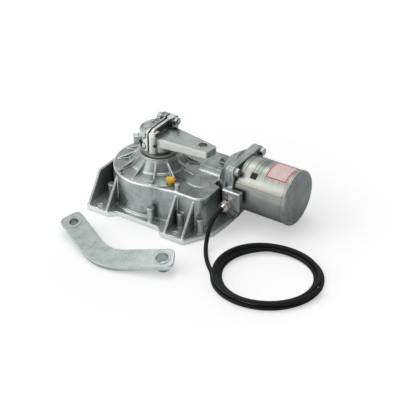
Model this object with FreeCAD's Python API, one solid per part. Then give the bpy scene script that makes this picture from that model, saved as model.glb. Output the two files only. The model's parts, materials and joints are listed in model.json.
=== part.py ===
import FreeCAD, Part
import math
import os

# Underground swing-gate operator: a ribbed die-cast worm gearbox with a flange-mounted motor, a clamped
# drive lever, its loose bent link arm and a coiled mains cable. Millimetres, +Z up. The output shaft
# stands on the origin, the base rests on z = 0, the motor lies along +X.

V = FreeCAD.Vector
X = V(1, 0, 0)
Y = V(0, 1, 0)
Z = V(0, 0, 1)

# How far a cut runs past the face that it opens, and the length of a cut that runs right through
OVER = 1.0
THROUGH = 60.0

# Base flange and feet
FLANGE_T = 9.0
FLANGE_UNDER_MOTOR = 5.0
FOOT_Y = 107.0
FOOT_HOLE_X = (-62.5, 97.5)
FOOT_HOLE_Y = 98.0
FOOT_HOLE_R = 5.5
FOOT_PAD_R = 10.0
FOOT_PAD_H = 2.0
BASE_ROUND = 1.5
WEB_T = 4.0
FRONT_WEB_X = (-43.0, 80.0, 116.0)
BACK_WEB_X = (-43.0, 53.0, 118.5)
SIDE_WEB_X = -82.0
WEB_FOOT = 0.5
WEB_TOP = 65.0
WEB_TOE_Y = FOOT_Y - 1
WEB_TOE_Z = 7.0
WEB_SHOULDER_Y = 69.0
WEB_ROOT_Y = 60.0
SIDE_WALL_TOP = 63.0

# Gear drum, dome and collar
DRUM_R = 82.5
DRUM_TOP = 72.0
DRUM_WALL = 6.5
DRUM_FOOT_R = 86.0
DRUM_FOOT_TOP = 11.0
RIM_ROUND = 2.5
DOME_R = 54.0
DOME_FOOT = 77.5
DOME_STEP = 2.0
COLLAR_R = 36.5
COLLAR_FOOT = 93.5
COLLAR_TOP = 97.5
RIB_COUNT = 12
RIB_START_DEG = -4.0
RIB_T = 3.0
RIB_FOOT = 70.0
RIB_TOP = 94.5
RIB_ROOT_R = 30.0
RIB_END_R = 76.0
RIB_END_Z = 74.5

# Worm box beside the drum
BOX_FRONT = -67.5
BOX_BACK = 78.0
BOX_RIGHT = 133.0
BOX_STEP_Y = (-10.0, -7.0)
POST_R = 6.5
POST_TOP = 36.0
POSTS = ((39.0, -85.5), (91.0, -71.0), (130.0, -69.0), (-64.0, -60.0), (39.0, 85.5), (-64.0, 60.0))
RIM_POST_R = 4.5
RIM_POSTS = ((-37.0, -67.5, 81.0), (31.0, -68.5, 80.0), (78.5, -61.0, 85.0))

# Bottom cover
COVER_T = 3.0
GASKET_T = 1.0
COVER_INSET = 3.0
COVER_GAP = 0.3
COVER_LEFT_X = 20.0
COVER_FRONT = -74.0
COVER_SOCKET_R = 30.0
COVER_SOCKET_TOP = 14.0
LOBE_R = 5.5
LOBE_REACH = 20.0
LOBE_AIM_X = (0.0, 100.0)
COVER_SCREW_R = 2.5
COVER_SCREW_LENGTH = 16.0
COVER_HEAD_R = 5.0
COVER_HEAD_H = 2.5
COVER_HEAD_SINK = 0.2

# Second stage: worm on the cross shaft and the output wheel. A tooth is given by its height above and
# below the pitch circle and its thickness on it.
WHEEL_TEETH = 36
WHEEL_MODULE = 3.75
WHEEL_TOOTH = (3.0, 3.5, 5.2)
WHEEL_MID_Z = 30.0
WHEEL_WIDTH = 24.0
WHEEL_RECESS_R = (34.0, 57.0)
WHEEL_RECESS_DEPTH = 7.0
WHEEL_HUB_R = 33.0
WORM_PITCH_R = 18.5
WORM_TURNS = 4
WHEEL_PITCH_R = WHEEL_TEETH * WHEEL_MODULE / 2
WORM_X = WHEEL_PITCH_R + WORM_PITCH_R

# First stage: worm on the motor shaft and the wheel on the cross shaft
FIRST_TEETH = 32
FIRST_MODULE = 1.25
FIRST_TOOTH = (1.1, 1.5, 1.6)
MOTOR_THREAD_T = 1.5
FIRST_WIDTH = 12.0
MOTOR_WORM_PITCH_R = 8.0
MOTOR_WORM_TURNS = 8
FIRST_PITCH_R = FIRST_TEETH * FIRST_MODULE / 2
MOTOR_Y = 49.0
MOTOR_Z = WHEEL_MID_Z + FIRST_PITCH_R + MOTOR_WORM_PITCH_R
PRESSURE_ANGLE = math.radians(20.0)

# Output shaft
SHAFT_R = 20.0
JOURNAL_R = 16.0
SHAFT_FOOT = 4.0
SHAFT_TOP = 130.0
BUSH_R = 26.0
UPPER_BUSH_FOOT = 74.0
LOWER_BUSH_R = 24.0
LOWER_BUSH_H = 10.0
SLEEVE_R = 24.5
SLEEVE_TOP = 73.5
RUNNING_GAP = 0.05
FIT = 0.02
SEAL_R = 29.0
SEAL_FOOT = 92.5
SEAL_LIP = 0.6

# Cross shaft bearings
BEARING_R = 17.5
BEARING_BORE_R = 7.5
BEARING_W = 11.0
SEAT_WALL = 5.0
FRONT_BEARING_Y = -62.5
REAR_BEARING_Y = 64.0
CAP_FLANGE_R = 30.0
CAP_FLANGE_T = 5.0
CAP_BORE_R = 23.0
CAP_SCREW_PCD_R = 26.4
CAP_SCREW_R = 2.0
CAP_SCREW_GRIP = 8.0
CAP_SCREW_HEAD = (3.5, 4.0)
CAP_SCREW_SOCKET = (1.6, 2.2)

# Motor
MOTOR_FACE_X = 118.0
FLANGE_X = 136.0
BELL_X = 144.0
BELL_END_X = 153.0
CAN_X = 155.0
CAN_END_X = 248.0
MOTOR_END_X = 256.0
CAN_R = 49.0
RIM_R = CAN_R + 0.7
CAN_BORE_R = 46.0
CAN_REGISTER = 5.0
RIM_LENGTH = 3.0
NECK_R = (42.0, 54.0)
EAR_OFFSET = 41.0
EAR_R = 9.5
SPIGOT_R = 30.0
SPIGOT_X = 123.0
SPIGOT_BORE_X = 114.0
BELL_ROOM_R = 44.0
BELL_SHAFT_R = 8.6
ROTOR_R = 25.0
ROTOR_SEAT_R = 8.0
AIR_GAP = 0.4
STATOR_X = (163.0, 227.0)
WINDING_R = (29.0, 41.0, 43.0)
WINDING_LENGTH = (8.0, 10.0)
WINDING_ROUND = 3.0
SEAM_DEG = 152.0
SEAM_H = 1.1
SEAM_W = 4.0

# Cable entry on the front of the motor bell
ENTRY_X = (140.0, 175.0)
ENTRY_Y = (-16.0, -6.0)
ENTRY_Z = (36.0, 72.0)
ENTRY_PAD_BACK = 12.0
ENTRY_SCREW_R = 1.5
ENTRY_SCREW_Z = (59.0, 67.0)
ENTRY_SCREW_HEAD = (3.0, 1.8)
ENTRY_SCREW_LENGTH = 14.0
GLAND_X = 152.0
GLAND_Z = 46.0
GLAND_FLATS = 17.0
GLAND_HEX_H = 6.0
GLAND_THREAD_R = 6.0
GLAND_THREAD_END_Y = -26.0
GLAND_THREAD_LENGTH = 17.0
GLAND_NUT_HEX_H = 8.0
GLAND_DOME_R = (7.6, 5.4)
GLAND_NUT_END_Y = -36.0
CABLE_D = 7.5

# Drive lever clamped on the output shaft
LEVER_HUB_R = 29.5
LEVER_HUB_FOOT = 106.0
JAW_R = 34.5
JAW_FOOT = 108.0
JAW_TOP = 141.0
HUB_ROOF = SHAFT_TOP + 0.5
HUB_ROUND = 2.0
HUB_SPLIT = 1.5
LEVER_TOP = 135.0
LEVER_ROOT_UNDER = 117.0
LEVER_TIP_UNDER = 123.0
LEVER_END_X = 114.0
LEVER_HOLE_X = 90.5
LEVER_BUSH_R = 10.5
LEVER_BUSH_BORE = 8.0
LEVER_BUSH_BELOW = 1.0
LEVER_BUSH_ABOVE = 0.4
CLAMP_BOLT_R = 4.0
BOLT_HEAD_FLATS = 13.0
BOLT_HEAD_H = 5.5
WASHER_R = 7.5
WASHER_T = 1.5
NUT_H = 6.5
FRONT_BOLTS = ((-28.0, 117.5), (-28.0, 138.5))
BACK_BOLTS = ((28.5, 117.0), (28.5, 146.0))
FRONT_SEAT_X = -6.0
BACK_SEAT_X = -13.0
FRONT_BOLT_END_X = 8.5
BACK_BOLT_END_X = 23.0
BACK_NUT_X = 14.0
HEAD_POCKET_R = 8.0
CLAMP_WALL_T = 5.5
CLAMP_WALL_TOP = 150.0
BACK_EAR_Y = (21.0, 38.0)
BACK_EAR_TOP = 154.0
SET_BOLT_DEG = 221.0
SET_BOLT_Z = 122.0
SET_BOLT_R = 5.0
SET_BOLT_FLATS = 17.0
SET_BOLT_HEAD = (36.5, 45.5)
SET_BOSS_R = 10.0
TOMMY_HOLE_R = 3.5

# Loose link arm, lying in front of the gearbox
ARM_WIDTH = 40.0
ARM_T = 8.5
ARM_RIGHT_LEG = 101.0
ARM_LEFT_LEG = 107.0
ARM_TURN = math.radians(52.4)
ARM_BEND_R = 70.0
ARM_CORNER_R = 11.0
ARM_ROUND = 1.2
ARM_PAST_HOLE = 20.0
ARM_BUSH_R = 13.5
ARM_BUSH_BORE_RIGHT = 11.0
ARM_BUSH_BORE_LEFT = 8.0
ARM_BUSH_STICK_OUT = 12.5
ARM_BUSH_LIP = 0.6
ARM_RIGHT_HOLE = (130.8, -183.3)
ARM_YAW_DEG = 25.7

# Mains cable: route from the gland to the coil, and the coil on the floor
CABLE_BEND_SHARE = 0.45
CABLE_ROUTE = (
    (GLAND_X, -28.0, GLAND_Z),
    (GLAND_X, -50.0, GLAND_Z),
    (153.0, -73.5, 38.0),
    (156.0, -95.0, 22.5),
    (163.5, -115.0, 8.6),
    (177.5, -133.5, 3.4),
    (195.5, -147.0, 4.6),
    (213.5, -158.5, 9.0),
)
COIL_CENTRE = (288.5, -111.0)
COIL_R = 82.5
COIL_HEIGHT = 15.4
COIL_EDGE = ((9.0, 5.0), (7.0, 1.5), (4.0, 0.0))


def rod(radius, start, axis, length):
    """Round bar from a start point along an axis."""
    return Part.makeCylinder(radius, length, start, axis)


def tube(outer, inner, start, axis, length):
    """Round bar with a round bore."""
    return rod(outer, start, axis, length).cut(rod(inner, start, axis, length))


def block(x, y, z):
    """Box between two values on each axis."""
    return Part.makeBox(x[1] - x[0], y[1] - y[0], z[1] - z[0], V(x[0], y[0], z[0]))


def placed(shape, origin, axis, across=None):
    """Shape drawn about local +Z, with its axis turned to lie along another one at a new origin."""
    turn = FreeCAD.Rotation(Z, axis)
    if across:
        turn = FreeCAD.Rotation(across, axis.cross(across), axis, "ZXY")
    shape.Placement = FreeCAD.Placement(origin, turn)
    return shape


def turned(profile, origin=V(0, 0, 0), axis=Z):
    """Solid of revolution of (radius, height) corners about an axis."""
    corners = [V(r, 0, h) for r, h in profile]
    face = Part.Face(Part.makePolygon(corners + corners[:1]))
    return placed(face.revolve(V(0, 0, 0), Z, 360), origin, axis)


def outline(corners):
    """Closed wire through (x, y, radius) corners, each rounded by its own radius."""
    legs = []
    for i, (x, y, radius) in enumerate(corners):
        point = V(x, y, 0)
        after_corner = corners[(i + 1) % len(corners)]
        before = V(corners[i - 1][0], corners[i - 1][1], 0) - point
        after = V(after_corner[0], after_corner[1], 0) - point
        before.normalize()
        after.normalize()
        half = before.getAngle(after) / 2
        reach = radius / math.tan(half)
        middle = before + after
        middle.normalize()
        top = point + middle * (radius / math.sin(half) - radius)
        legs.append((point + before * reach, top, point + after * reach, radius))
    edges = []
    for i, (start, top, end, radius) in enumerate(legs):
        if radius > 0:
            edges.append(Part.Arc(start, top, end).toShape())
        following = legs[(i + 1) % len(legs)][0]
        if end.distanceToPoint(following) > 1e-6:
            edges.append(Part.LineSegment(end, following).toShape())
    return Part.Wire(edges)


def plate(corners, low, high):
    """Flat plate of a rounded outline between two heights."""
    shape = Part.Face(outline(corners)).extrude(V(0, 0, high - low))
    shape.translate(V(0, 0, low))
    return shape


def slab(points, normal_start, thickness):
    """Plate parallel to the YZ plane from (y, z) corners, starting at an x value."""
    corners = [V(normal_start, y, z) for y, z in points]
    return Part.Face(Part.makePolygon(corners + corners[:1])).extrude(X * thickness)


def hexagon(across_flats, start, axis, length):
    """Hexagonal prism such as a bolt head or a nut."""
    radius = across_flats / math.sqrt(3)
    angles = [math.radians(60 * i) for i in range(6)]
    corners = [V(radius * math.cos(a), radius * math.sin(a), 0) for a in angles]
    prism = Part.Face(Part.makePolygon(corners + corners[:1])).extrude(Z * length)
    return placed(prism, start, axis)


def fused(shapes):
    """One solid from overlapping shapes, with seams between flush faces removed."""
    return shapes[0].fuse(shapes[1:]).removeSplitter()


def rounded_edges(shape, radius, chosen):
    """Shape with the edges that a test chooses rounded."""
    return shape.makeFillet(radius, [edge for edge in shape.Edges if chosen(edge)])


def at_height(height):
    """Test for edges that lie level at one height."""
    return lambda edge: abs(edge.BoundBox.ZMin - height) < 1e-3 and abs(edge.BoundBox.ZMax - height) < 1e-3


# Gear teeth

def toothed_blank(teeth, module, tooth, width, slant):
    """Wheel blank with straight-flanked slanted teeth, a gap on local +X at mid width."""
    addendum, dedendum, thickness = tooth
    pitch_r = teeth * module / 2
    root_r = pitch_r - dedendum
    tip_r = pitch_r + addendum
    levels = ((root_r, -1), (tip_r, -1), (tip_r, 1), (root_r, 1))
    wires = []
    for side in (-1, 1):
        corners = []
        lean = side * width / 2 * math.tan(slant) / pitch_r
        for i in range(teeth):
            middle = (i + 0.5) * 2 * math.pi / teeth + lean
            for radius, flank in levels:
                half = thickness / 2 - (radius - pitch_r) * math.tan(PRESSURE_ANGLE)
                angle = middle + flank * half / radius
                corners.append(V(radius * math.cos(angle), radius * math.sin(angle), side * width / 2))
        wires.append(Part.makePolygon(corners + corners[:1]))
    return Part.makeLoft(wires, True, True)


def worm_thread(module, turns, root_r, tip_r, pitch_r, thickness):
    """Right-hand helical ridge about local +Z, crossing local +X at mid length."""
    lead = math.pi * module
    foot_r = root_r - 0.6
    half = {r: thickness / 2 - (r - pitch_r) * math.tan(PRESSURE_ANGLE) for r in (foot_r, tip_r)}
    corners = [V(foot_r, 0, -half[foot_r]), V(tip_r, 0, -half[tip_r]),
               V(tip_r, 0, half[tip_r]), V(foot_r, 0, half[foot_r])]
    profile = Part.makePolygon(corners + corners[:1])
    helix = Part.makeHelix(lead, lead * turns, pitch_r)
    ridge = Part.Wire(helix.Edges).makePipeShell([profile], True, True)
    ridge.translate(V(0, 0, -lead * turns / 2))
    return ridge


# Gearbox casting

BASE_FRONT = ((-87.0, -FOOT_Y, 6), (-38.0, -FOOT_Y, 5), (-26.0, -95.0, 8), (60.0, -95.0, 8),
              (73.0, -FOOT_Y, 5), (120.0, -FOOT_Y, 5), (149.0, -57.0, 12), (152.0, -20.0, 10))
BOX_OUTLINE = ((20.0, -78.0, 0), (35.0, -76.0, 2), (80.0, BOX_FRONT, 8), (BOX_RIGHT, BOX_FRONT, 18),
               (BOX_RIGHT, BOX_STEP_Y[0], 4), (MOTOR_FACE_X, BOX_STEP_Y[1], 3), (MOTOR_FACE_X, BOX_BACK, 4),
               (20.0, BOX_BACK, 0))
DRUM_PROFILE = ((0, 0), (DRUM_R, 0), (DRUM_R, DRUM_TOP), (DOME_R, DOME_FOOT), (DOME_R, DOME_FOOT + DOME_STEP),
                (DOME_R - DOME_STEP, DOME_FOOT + DOME_STEP), (COLLAR_R + 3, COLLAR_FOOT),
                (COLLAR_R, COLLAR_FOOT), (COLLAR_R, COLLAR_TOP), (0, COLLAR_TOP))
DRUM_ROOM = ((0, -OVER), (DRUM_R - DRUM_WALL, -OVER), (DRUM_R - DRUM_WALL, 65.0), (DOME_R - 7, 70.0),
             (COLLAR_R - 5, 76.0), (0, 76.0))
HUMP_X = (72.0, MOTOR_FACE_X)
HUMP_TOP = 80.0
HUMP_PROFILE = ((13.0, DRUM_TOP - 1), (21.0, HUMP_TOP), (73.0, HUMP_TOP), (BOX_BACK, DRUM_TOP - 1))
FIN_SIDE = ((92.0, HUMP_TOP - 1), (101.0, HUMP_TOP + 12), (112.0, HUMP_TOP - 1))
FIN_T = 4.0
PAD_CENTRE = (94.0, -22.0)
PAD_SIZE = (44.0, 26.0)
PAD_H = 1.0
WORM_ROOM_X = (55.0, 126.5)
WORM_ROOM_Y = (-61.0, -16.0)
FIRST_ROOM_X = (55.0, 112.0)
FIRST_ROOM_Y = (-16.0, 64.0)
WORM_ROOM_TOP = 65.0
MOTOR_WORM_ROOM_R = 13.0
MOTOR_WORM_ROOM_X = 58.0


def worm_room(low, high):
    """Space inside the worm box: wide beside the drum, narrower in front of the motor."""
    return block(WORM_ROOM_X, WORM_ROOM_Y, (low, high)).fuse(block(FIRST_ROOM_X, FIRST_ROOM_Y, (low, high)))


def mirrored_outline(front):
    """Outline corners for the front half followed by their mirror images behind."""
    return tuple(front) + tuple((x, -y, r) for x, y, r in reversed(front))


def foot_webs():
    """Triangular gusset plates that brace the feet against the casing, and the long left side wall."""
    front = ((-WEB_TOE_Y, WEB_FOOT), (-WEB_TOE_Y, WEB_TOE_Z), (-WEB_SHOULDER_Y, WEB_TOP),
             (-WEB_ROOT_Y, WEB_TOP), (-WEB_ROOT_Y, WEB_FOOT))
    back = [(-y, z) for y, z in front]
    webs = [slab(front, x - WEB_T / 2, WEB_T) for x in FRONT_WEB_X]
    webs += [slab(back, x - WEB_T / 2, WEB_T) for x in BACK_WEB_X]
    wall = ((-WEB_TOE_Y, WEB_FOOT), (-WEB_TOE_Y, WEB_TOE_Z), (-WEB_SHOULDER_Y, SIDE_WALL_TOP),
            (WEB_SHOULDER_Y, SIDE_WALL_TOP), (WEB_TOE_Y, WEB_TOE_Z), (WEB_TOE_Y, WEB_FOOT))
    webs.append(slab(wall, SIDE_WEB_X - WEB_T / 2, WEB_T))
    footprint = plate(mirrored_outline(BASE_FRONT), 0, DRUM_TOP)
    return [web.common(footprint) for web in webs]


def dome_ribs():
    """Radial ribs that run from the collar down the dome to near its rim."""
    side = ((RIB_ROOT_R, RIB_FOOT), (RIB_ROOT_R, RIB_TOP), (COLLAR_R + 1, RIB_TOP),
            (RIB_END_R, RIB_END_Z), (RIB_END_R, RIB_FOOT))
    points = [V(radius, -RIB_T / 2, height) for radius, height in side]
    ribs = []
    for i in range(RIB_COUNT):
        rib = Part.Face(Part.makePolygon(points + points[:1])).extrude(Y * RIB_T)
        rib.rotate(V(0, 0, 0), Z, RIB_START_DEG + i * 360 / RIB_COUNT)
        ribs.append(rib)
    return ribs


def motor_ears(start_x, length, radius):
    """Four round bars along X at the motor's fixing points."""
    return [rod(radius, V(start_x, MOTOR_Y + a * EAR_OFFSET, MOTOR_Z + b * EAR_OFFSET), X, length)
            for a in (-1, 1) for b in (-1, 1)]


def square_flange(start_x, end_x, free_x):
    """Square plate with round corners about the four fixing points, rounded along its free face's rim."""
    half = EAR_OFFSET + EAR_R
    corners = [(a * half, b * half, EAR_R) for a, b in ((-1, -1), (1, -1), (1, 1), (-1, 1))]
    flange = rounded_edges(plate(corners, 0, end_x - start_x), BASE_ROUND, at_height(free_x - start_x))
    return placed(flange, V(start_x, MOTOR_Y, MOTOR_Z), X)


def hump_fin():
    """Small pointed fin on the hump, in line with the motor."""
    corners = [V(x, MOTOR_Y - FIN_T / 2, z) for x, z in FIN_SIDE]
    return Part.Face(Part.makePolygon(corners + corners[:1])).extrude(Y * FIN_T)


def make_gearbox_housing():
    drum = rounded_edges(turned(DRUM_PROFILE), RIM_ROUND, at_height(DRUM_TOP))
    drum_foot = rounded_edges(rod(DRUM_FOOT_R, V(0, 0, 0), Z, DRUM_FOOT_TOP), 1.0, at_height(DRUM_FOOT_TOP))
    box = rounded_edges(plate(BOX_OUTLINE, 0, DRUM_TOP), RIM_ROUND, at_height(DRUM_TOP))
    hump = slab(HUMP_PROFILE, HUMP_X[0], HUMP_X[1] - HUMP_X[0])
    half_pad = (PAD_SIZE[0] / 2, PAD_SIZE[1] / 2)
    pad = Part.Face(Part.Wire(Part.Ellipse(V(0, 0, 0), *half_pad).toShape())).extrude(Z * (PAD_H + OVER))
    pad.translate(V(PAD_CENTRE[0], PAD_CENTRE[1], DRUM_TOP - OVER))
    base = plate(mirrored_outline(BASE_FRONT), 0, FLANGE_T)
    base = rounded_edges(base, BASE_ROUND, at_height(FLANGE_T))
    neck = Part.makeCone(*NECK_R, FLANGE_X - MOTOR_FACE_X, V(MOTOR_FACE_X, MOTOR_Y, MOTOR_Z), X)
    posts = [rod(POST_R, V(x, y, 0), Z, POST_TOP) for x, y in POSTS]
    for x, y, top in RIM_POSTS:
        post = rod(RIM_POST_R, V(x, y, POST_TOP), Z, top - POST_TOP)
        posts.append(rounded_edges(post, 1.0, at_height(top)))
    pads = [rod(FOOT_PAD_R, V(x, s * FOOT_HOLE_Y, 0), Z, FLANGE_T + FOOT_PAD_H)
            for x in FOOT_HOLE_X for s in (-1, 1)]
    foot_trim = plate(mirrored_outline(BASE_FRONT), 0, FLANGE_T + FOOT_PAD_H)
    flange = square_flange(FLANGE_X, BELL_X, FLANGE_X)
    casting = fused([drum, drum_foot, box, base, hump, hump_fin(), pad, neck, flange]
                    + [p.common(foot_trim) for p in pads] + posts + foot_webs() + dome_ribs())
    seat_end = FRONT_BEARING_Y + BEARING_W
    seat = rod(BEARING_R + SEAT_WALL, V(WORM_X, BOX_FRONT, WHEEL_MID_Z), Y, seat_end - BOX_FRONT)
    room = worm_room(-OVER, WORM_ROOM_TOP).cut(seat)
    motor_room = rod(MOTOR_WORM_ROOM_R, V(MOTOR_WORM_ROOM_X, MOTOR_Y, MOTOR_Z), X, THROUGH)
    relief_front = MOTOR_Y - EAR_OFFSET - EAR_R - OVER
    relief = block((BELL_X, BELL_X + THROUGH), (relief_front, FOOT_Y + OVER),
                   (FLANGE_UNDER_MOTOR, FLANGE_T + OVER))
    recess = cover_blank(COVER_GAP).extrude(V(0, 0, COVER_T + GASKET_T))
    cap_bore_start = REAR_BEARING_Y - OVER
    bores = [
        rod(BUSH_R + FIT, V(0, 0, RIB_FOOT), Z, THROUGH),
        rod(SEAL_R + FIT, V(0, 0, SEAL_FOOT), Z, THROUGH),
        rod(BEARING_R + FIT, V(WORM_X, FRONT_BEARING_Y, WHEEL_MID_Z), Y, BEARING_W + OVER),
        rod(CAP_BORE_R + FIT, V(WORM_X, cap_bore_start, WHEEL_MID_Z), Y, BOX_BACK + OVER - cap_bore_start),
        rod(SPIGOT_R, V(SPIGOT_BORE_X, MOTOR_Y, MOTOR_Z), X, THROUGH),
    ]
    bores += motor_ears(FLANGE_X - OVER, THROUGH, CLAMP_BOLT_R + FIT)
    bores += [rod(FOOT_HOLE_R, V(x, s * FOOT_HOLE_Y, -OVER), Z, THROUGH)
              for x in FOOT_HOLE_X for s in (-1, 1)]
    bores += [rod(COVER_SCREW_R + FIT, V(x, y, -OVER), Z, COVER_SCREW_LENGTH + 2 * OVER) for x, y in POSTS]
    screw_depth = CAP_SCREW_GRIP + 2 * OVER
    bores += cap_screw_rods(CAP_SCREW_R + FIT, BOX_BACK - screw_depth, screw_depth + OVER)
    bores.append(rod(PLUG_SHANK_R + FIT, V(PLUG_PLACE[0], PLUG_PLACE[1], WORM_ROOM_TOP - OVER), Z, THROUGH))
    return casting.cut([turned(DRUM_ROOM), room, motor_room, relief, recess] + bores)


def cover_blank(margin):
    """Flat face under the drum and worm box with a lobe at each screw post."""
    inset = COVER_INSET - margin
    drum = Part.Face(Part.Wire(Part.makeCircle(DRUM_R - inset)))
    right = BOX_RIGHT - inset
    step = MOTOR_FACE_X - inset
    back = BOX_BACK - inset
    box = Part.Face(outline(((COVER_LEFT_X, COVER_FRONT - margin, 0), (right, BOX_FRONT + inset, 12),
                             (right, BOX_STEP_Y[0] - inset, 3), (step, BOX_STEP_Y[1] - inset, 3),
                             (step, back, 6), (COVER_LEFT_X, back, 0))))
    lobes = []
    for x, y in POSTS:
        near = V(x, y, 0)
        lobes.append(Part.Face(Part.Wire(Part.makeCircle(LOBE_R + margin, near))))
        inward = V(min(max(x, LOBE_AIM_X[0]), LOBE_AIM_X[1]), 0, 0) - near
        inward.normalize()
        across = Z.cross(inward) * (LOBE_R + margin)
        far = near + inward * LOBE_REACH
        corners = [near + across, near - across, far - across, far + across]
        lobes.append(Part.Face(Part.makePolygon(corners + corners[:1])))
    return drum.fuse([box] + lobes).removeSplitter()


def make_bottom_cover():
    cover = cover_blank(0).extrude(V(0, 0, COVER_T))
    cover = cover.fuse(rod(COVER_SOCKET_R, V(0, 0, 0), Z, COVER_SOCKET_TOP)).removeSplitter()
    cuts = [rod(LOWER_BUSH_R + FIT, V(0, 0, SHAFT_FOOT), Z, THROUGH)]
    for x, y in POSTS:
        cuts.append(rod(COVER_SCREW_R + FIT, V(x, y, -OVER), Z, THROUGH))
        cuts.append(Part.makeCone(COVER_HEAD_R + FIT, COVER_SCREW_R + FIT, COVER_HEAD_H, V(x, y, 0), Z))
    return cover.cut(cuts)


def make_cover_gasket():
    sheet = cover_blank(0).extrude(V(0, 0, GASKET_T))
    sheet.translate(V(0, 0, COVER_T))
    cuts = [rod(DRUM_R - DRUM_WALL, V(0, 0, 0), Z, THROUGH), worm_room(0, THROUGH)]
    cuts += [rod(COVER_SCREW_R + FIT, V(x, y, 0), Z, THROUGH) for x, y in POSTS]
    return sheet.cut(cuts)


def make_cover_screws():
    profile = ((0, COVER_HEAD_SINK), (COVER_HEAD_R - COVER_HEAD_SINK, COVER_HEAD_SINK),
               (COVER_SCREW_R, COVER_HEAD_H), (COVER_SCREW_R, COVER_SCREW_LENGTH), (0, COVER_SCREW_LENGTH))
    return Part.makeCompound([turned(profile, V(x, y, 0)) for x, y in POSTS])


PLUG_PLACE = (57.0, -51.0)
PLUG_SHANK_R = 4.0
PLUG_TILT_DEG = 80.0
PLUG_CAP_Z = 80.0
PLUG_SHANK_Z = (66.0, 75.5)
PLUG_NECK_R = 5.0
PLUG_NECK_Z = (75.3, 79.3)
PLUG_CAP_BACK = 3.0
PLUG_CAP = ((0, -3.0), (5.0, -3.0), (5.6, 2.0), (5.4, 9.0), (4.0, 12.0), (3.0, 13.0), (2.8, 16.0), (0, 16.5))


def make_vent_plug():
    """Push-in plug with a bulbous cap that leans over towards +X."""
    x, y = PLUG_PLACE
    shank = rod(PLUG_SHANK_R, V(x, y, PLUG_SHANK_Z[0]), Z, PLUG_SHANK_Z[1] - PLUG_SHANK_Z[0])
    neck = rod(PLUG_NECK_R, V(x, y, PLUG_NECK_Z[0]), Z, PLUG_NECK_Z[1] - PLUG_NECK_Z[0])
    cap = rounded_edges(turned(PLUG_CAP), 0.8, at_height(PLUG_CAP[0][1]))
    cap.rotate(V(0, 0, 0), Y, PLUG_TILT_DEG)
    cap.translate(V(x - PLUG_CAP_BACK, y, PLUG_CAP_Z))
    return fused([shank, cap, neck])


# Output shaft, its bushes and the output wheel

def make_output_bush_lower():
    return tube(LOWER_BUSH_R, JOURNAL_R + RUNNING_GAP, V(0, 0, SHAFT_FOOT), Z, LOWER_BUSH_H)


def make_output_bush_upper():
    return tube(BUSH_R, SHAFT_R + RUNNING_GAP, V(0, 0, UPPER_BUSH_FOOT), Z, SEAL_FOOT - UPPER_BUSH_FOOT)


def make_output_seal():
    return turned(((SHAFT_R + RUNNING_GAP, SEAL_FOOT), (SEAL_R, SEAL_FOOT), (SEAL_R, COLLAR_TOP),
                   (SEAL_R - 2, COLLAR_TOP + SEAL_LIP), (SHAFT_R + 3, COLLAR_TOP + SEAL_LIP),
                   (SHAFT_R + RUNNING_GAP, COLLAR_TOP - 1)))


WHEEL_FOOT = 14.5
WHEEL_HUB_TOP = 50.0
WHEEL_KEY = block((16.0, 23.5), (-6.0, 6.0), (18.0, 42.0))
LEVER_KEY = block((16.0, 23.5), (-5.0, 5.0), (108.5, 126.0))


def make_output_shaft():
    shaft = turned(((0, SHAFT_FOOT + 0.1), (JOURNAL_R - 1, SHAFT_FOOT + 0.1), (JOURNAL_R, SHAFT_FOOT + 1.1),
                    (JOURNAL_R, WHEEL_FOOT), (SHAFT_R, WHEEL_FOOT), (SHAFT_R, SHAFT_TOP - 2),
                    (SHAFT_R - 2, SHAFT_TOP), (0, SHAFT_TOP)))
    return shaft.cut([WHEEL_KEY, LEVER_KEY])


def make_output_worm_wheel():
    worm_slant = math.atan(WHEEL_MODULE / (2 * WORM_PITCH_R))
    blank = toothed_blank(WHEEL_TEETH, WHEEL_MODULE, WHEEL_TOOTH, WHEEL_WIDTH, worm_slant)
    blank.translate(V(0, 0, WHEEL_MID_Z))
    low = WHEEL_MID_Z - WHEEL_WIDTH / 2
    high = WHEEL_MID_Z + WHEEL_WIDTH / 2
    recesses = [tube(WHEEL_RECESS_R[1], WHEEL_RECESS_R[0], V(0, 0, foot), Z, WHEEL_RECESS_DEPTH + OVER)
                for foot in (low - OVER, high - WHEEL_RECESS_DEPTH)]
    hub = rod(WHEEL_HUB_R, V(0, 0, WHEEL_FOOT), Z, WHEEL_HUB_TOP - WHEEL_FOOT)
    return blank.cut(recesses).fuse(hub).cut([rod(SHAFT_R + FIT, V(0, 0, 0), Z, THROUGH), WHEEL_KEY])


def make_spacer_sleeve():
    return tube(SLEEVE_R, SHAFT_R + FIT, V(0, 0, WHEEL_HUB_TOP), Z, SLEEVE_TOP - WHEEL_HUB_TOP)


# Cross shaft with the worm, and the wheel that the motor worm drives

FIRST_Y = (MOTOR_Y - FIRST_WIDTH / 2, MOTOR_Y + FIRST_WIDTH / 2)
CROSS_SEAT_R = 10.0
CROSS_END = REAR_BEARING_Y + BEARING_W
CROSS_SHOULDER_R = 13.0
CROSS_CHAMFER = 0.8
WORM_RUN_OUT = 8.0
WORM_TAPER = 3.0
CIRCLIP_T = 1.2
CIRCLIP_R = 12.5
CIRCLIP_DEPTH = 0.6
CIRCLIP_GAP = 4.0
FIRST_KEY = block((WORM_X - 2, WORM_X + 2), FIRST_Y, (WHEEL_MID_Z - 12, WHEEL_MID_Z - 8))


def circlip_ring():
    """Closed ring of the circlip's section in its groove behind the first wheel."""
    start = V(WORM_X, FIRST_Y[1], WHEEL_MID_Z)
    return tube(CIRCLIP_R, CROSS_SEAT_R - CIRCLIP_DEPTH, start, Y, CIRCLIP_T)


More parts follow.
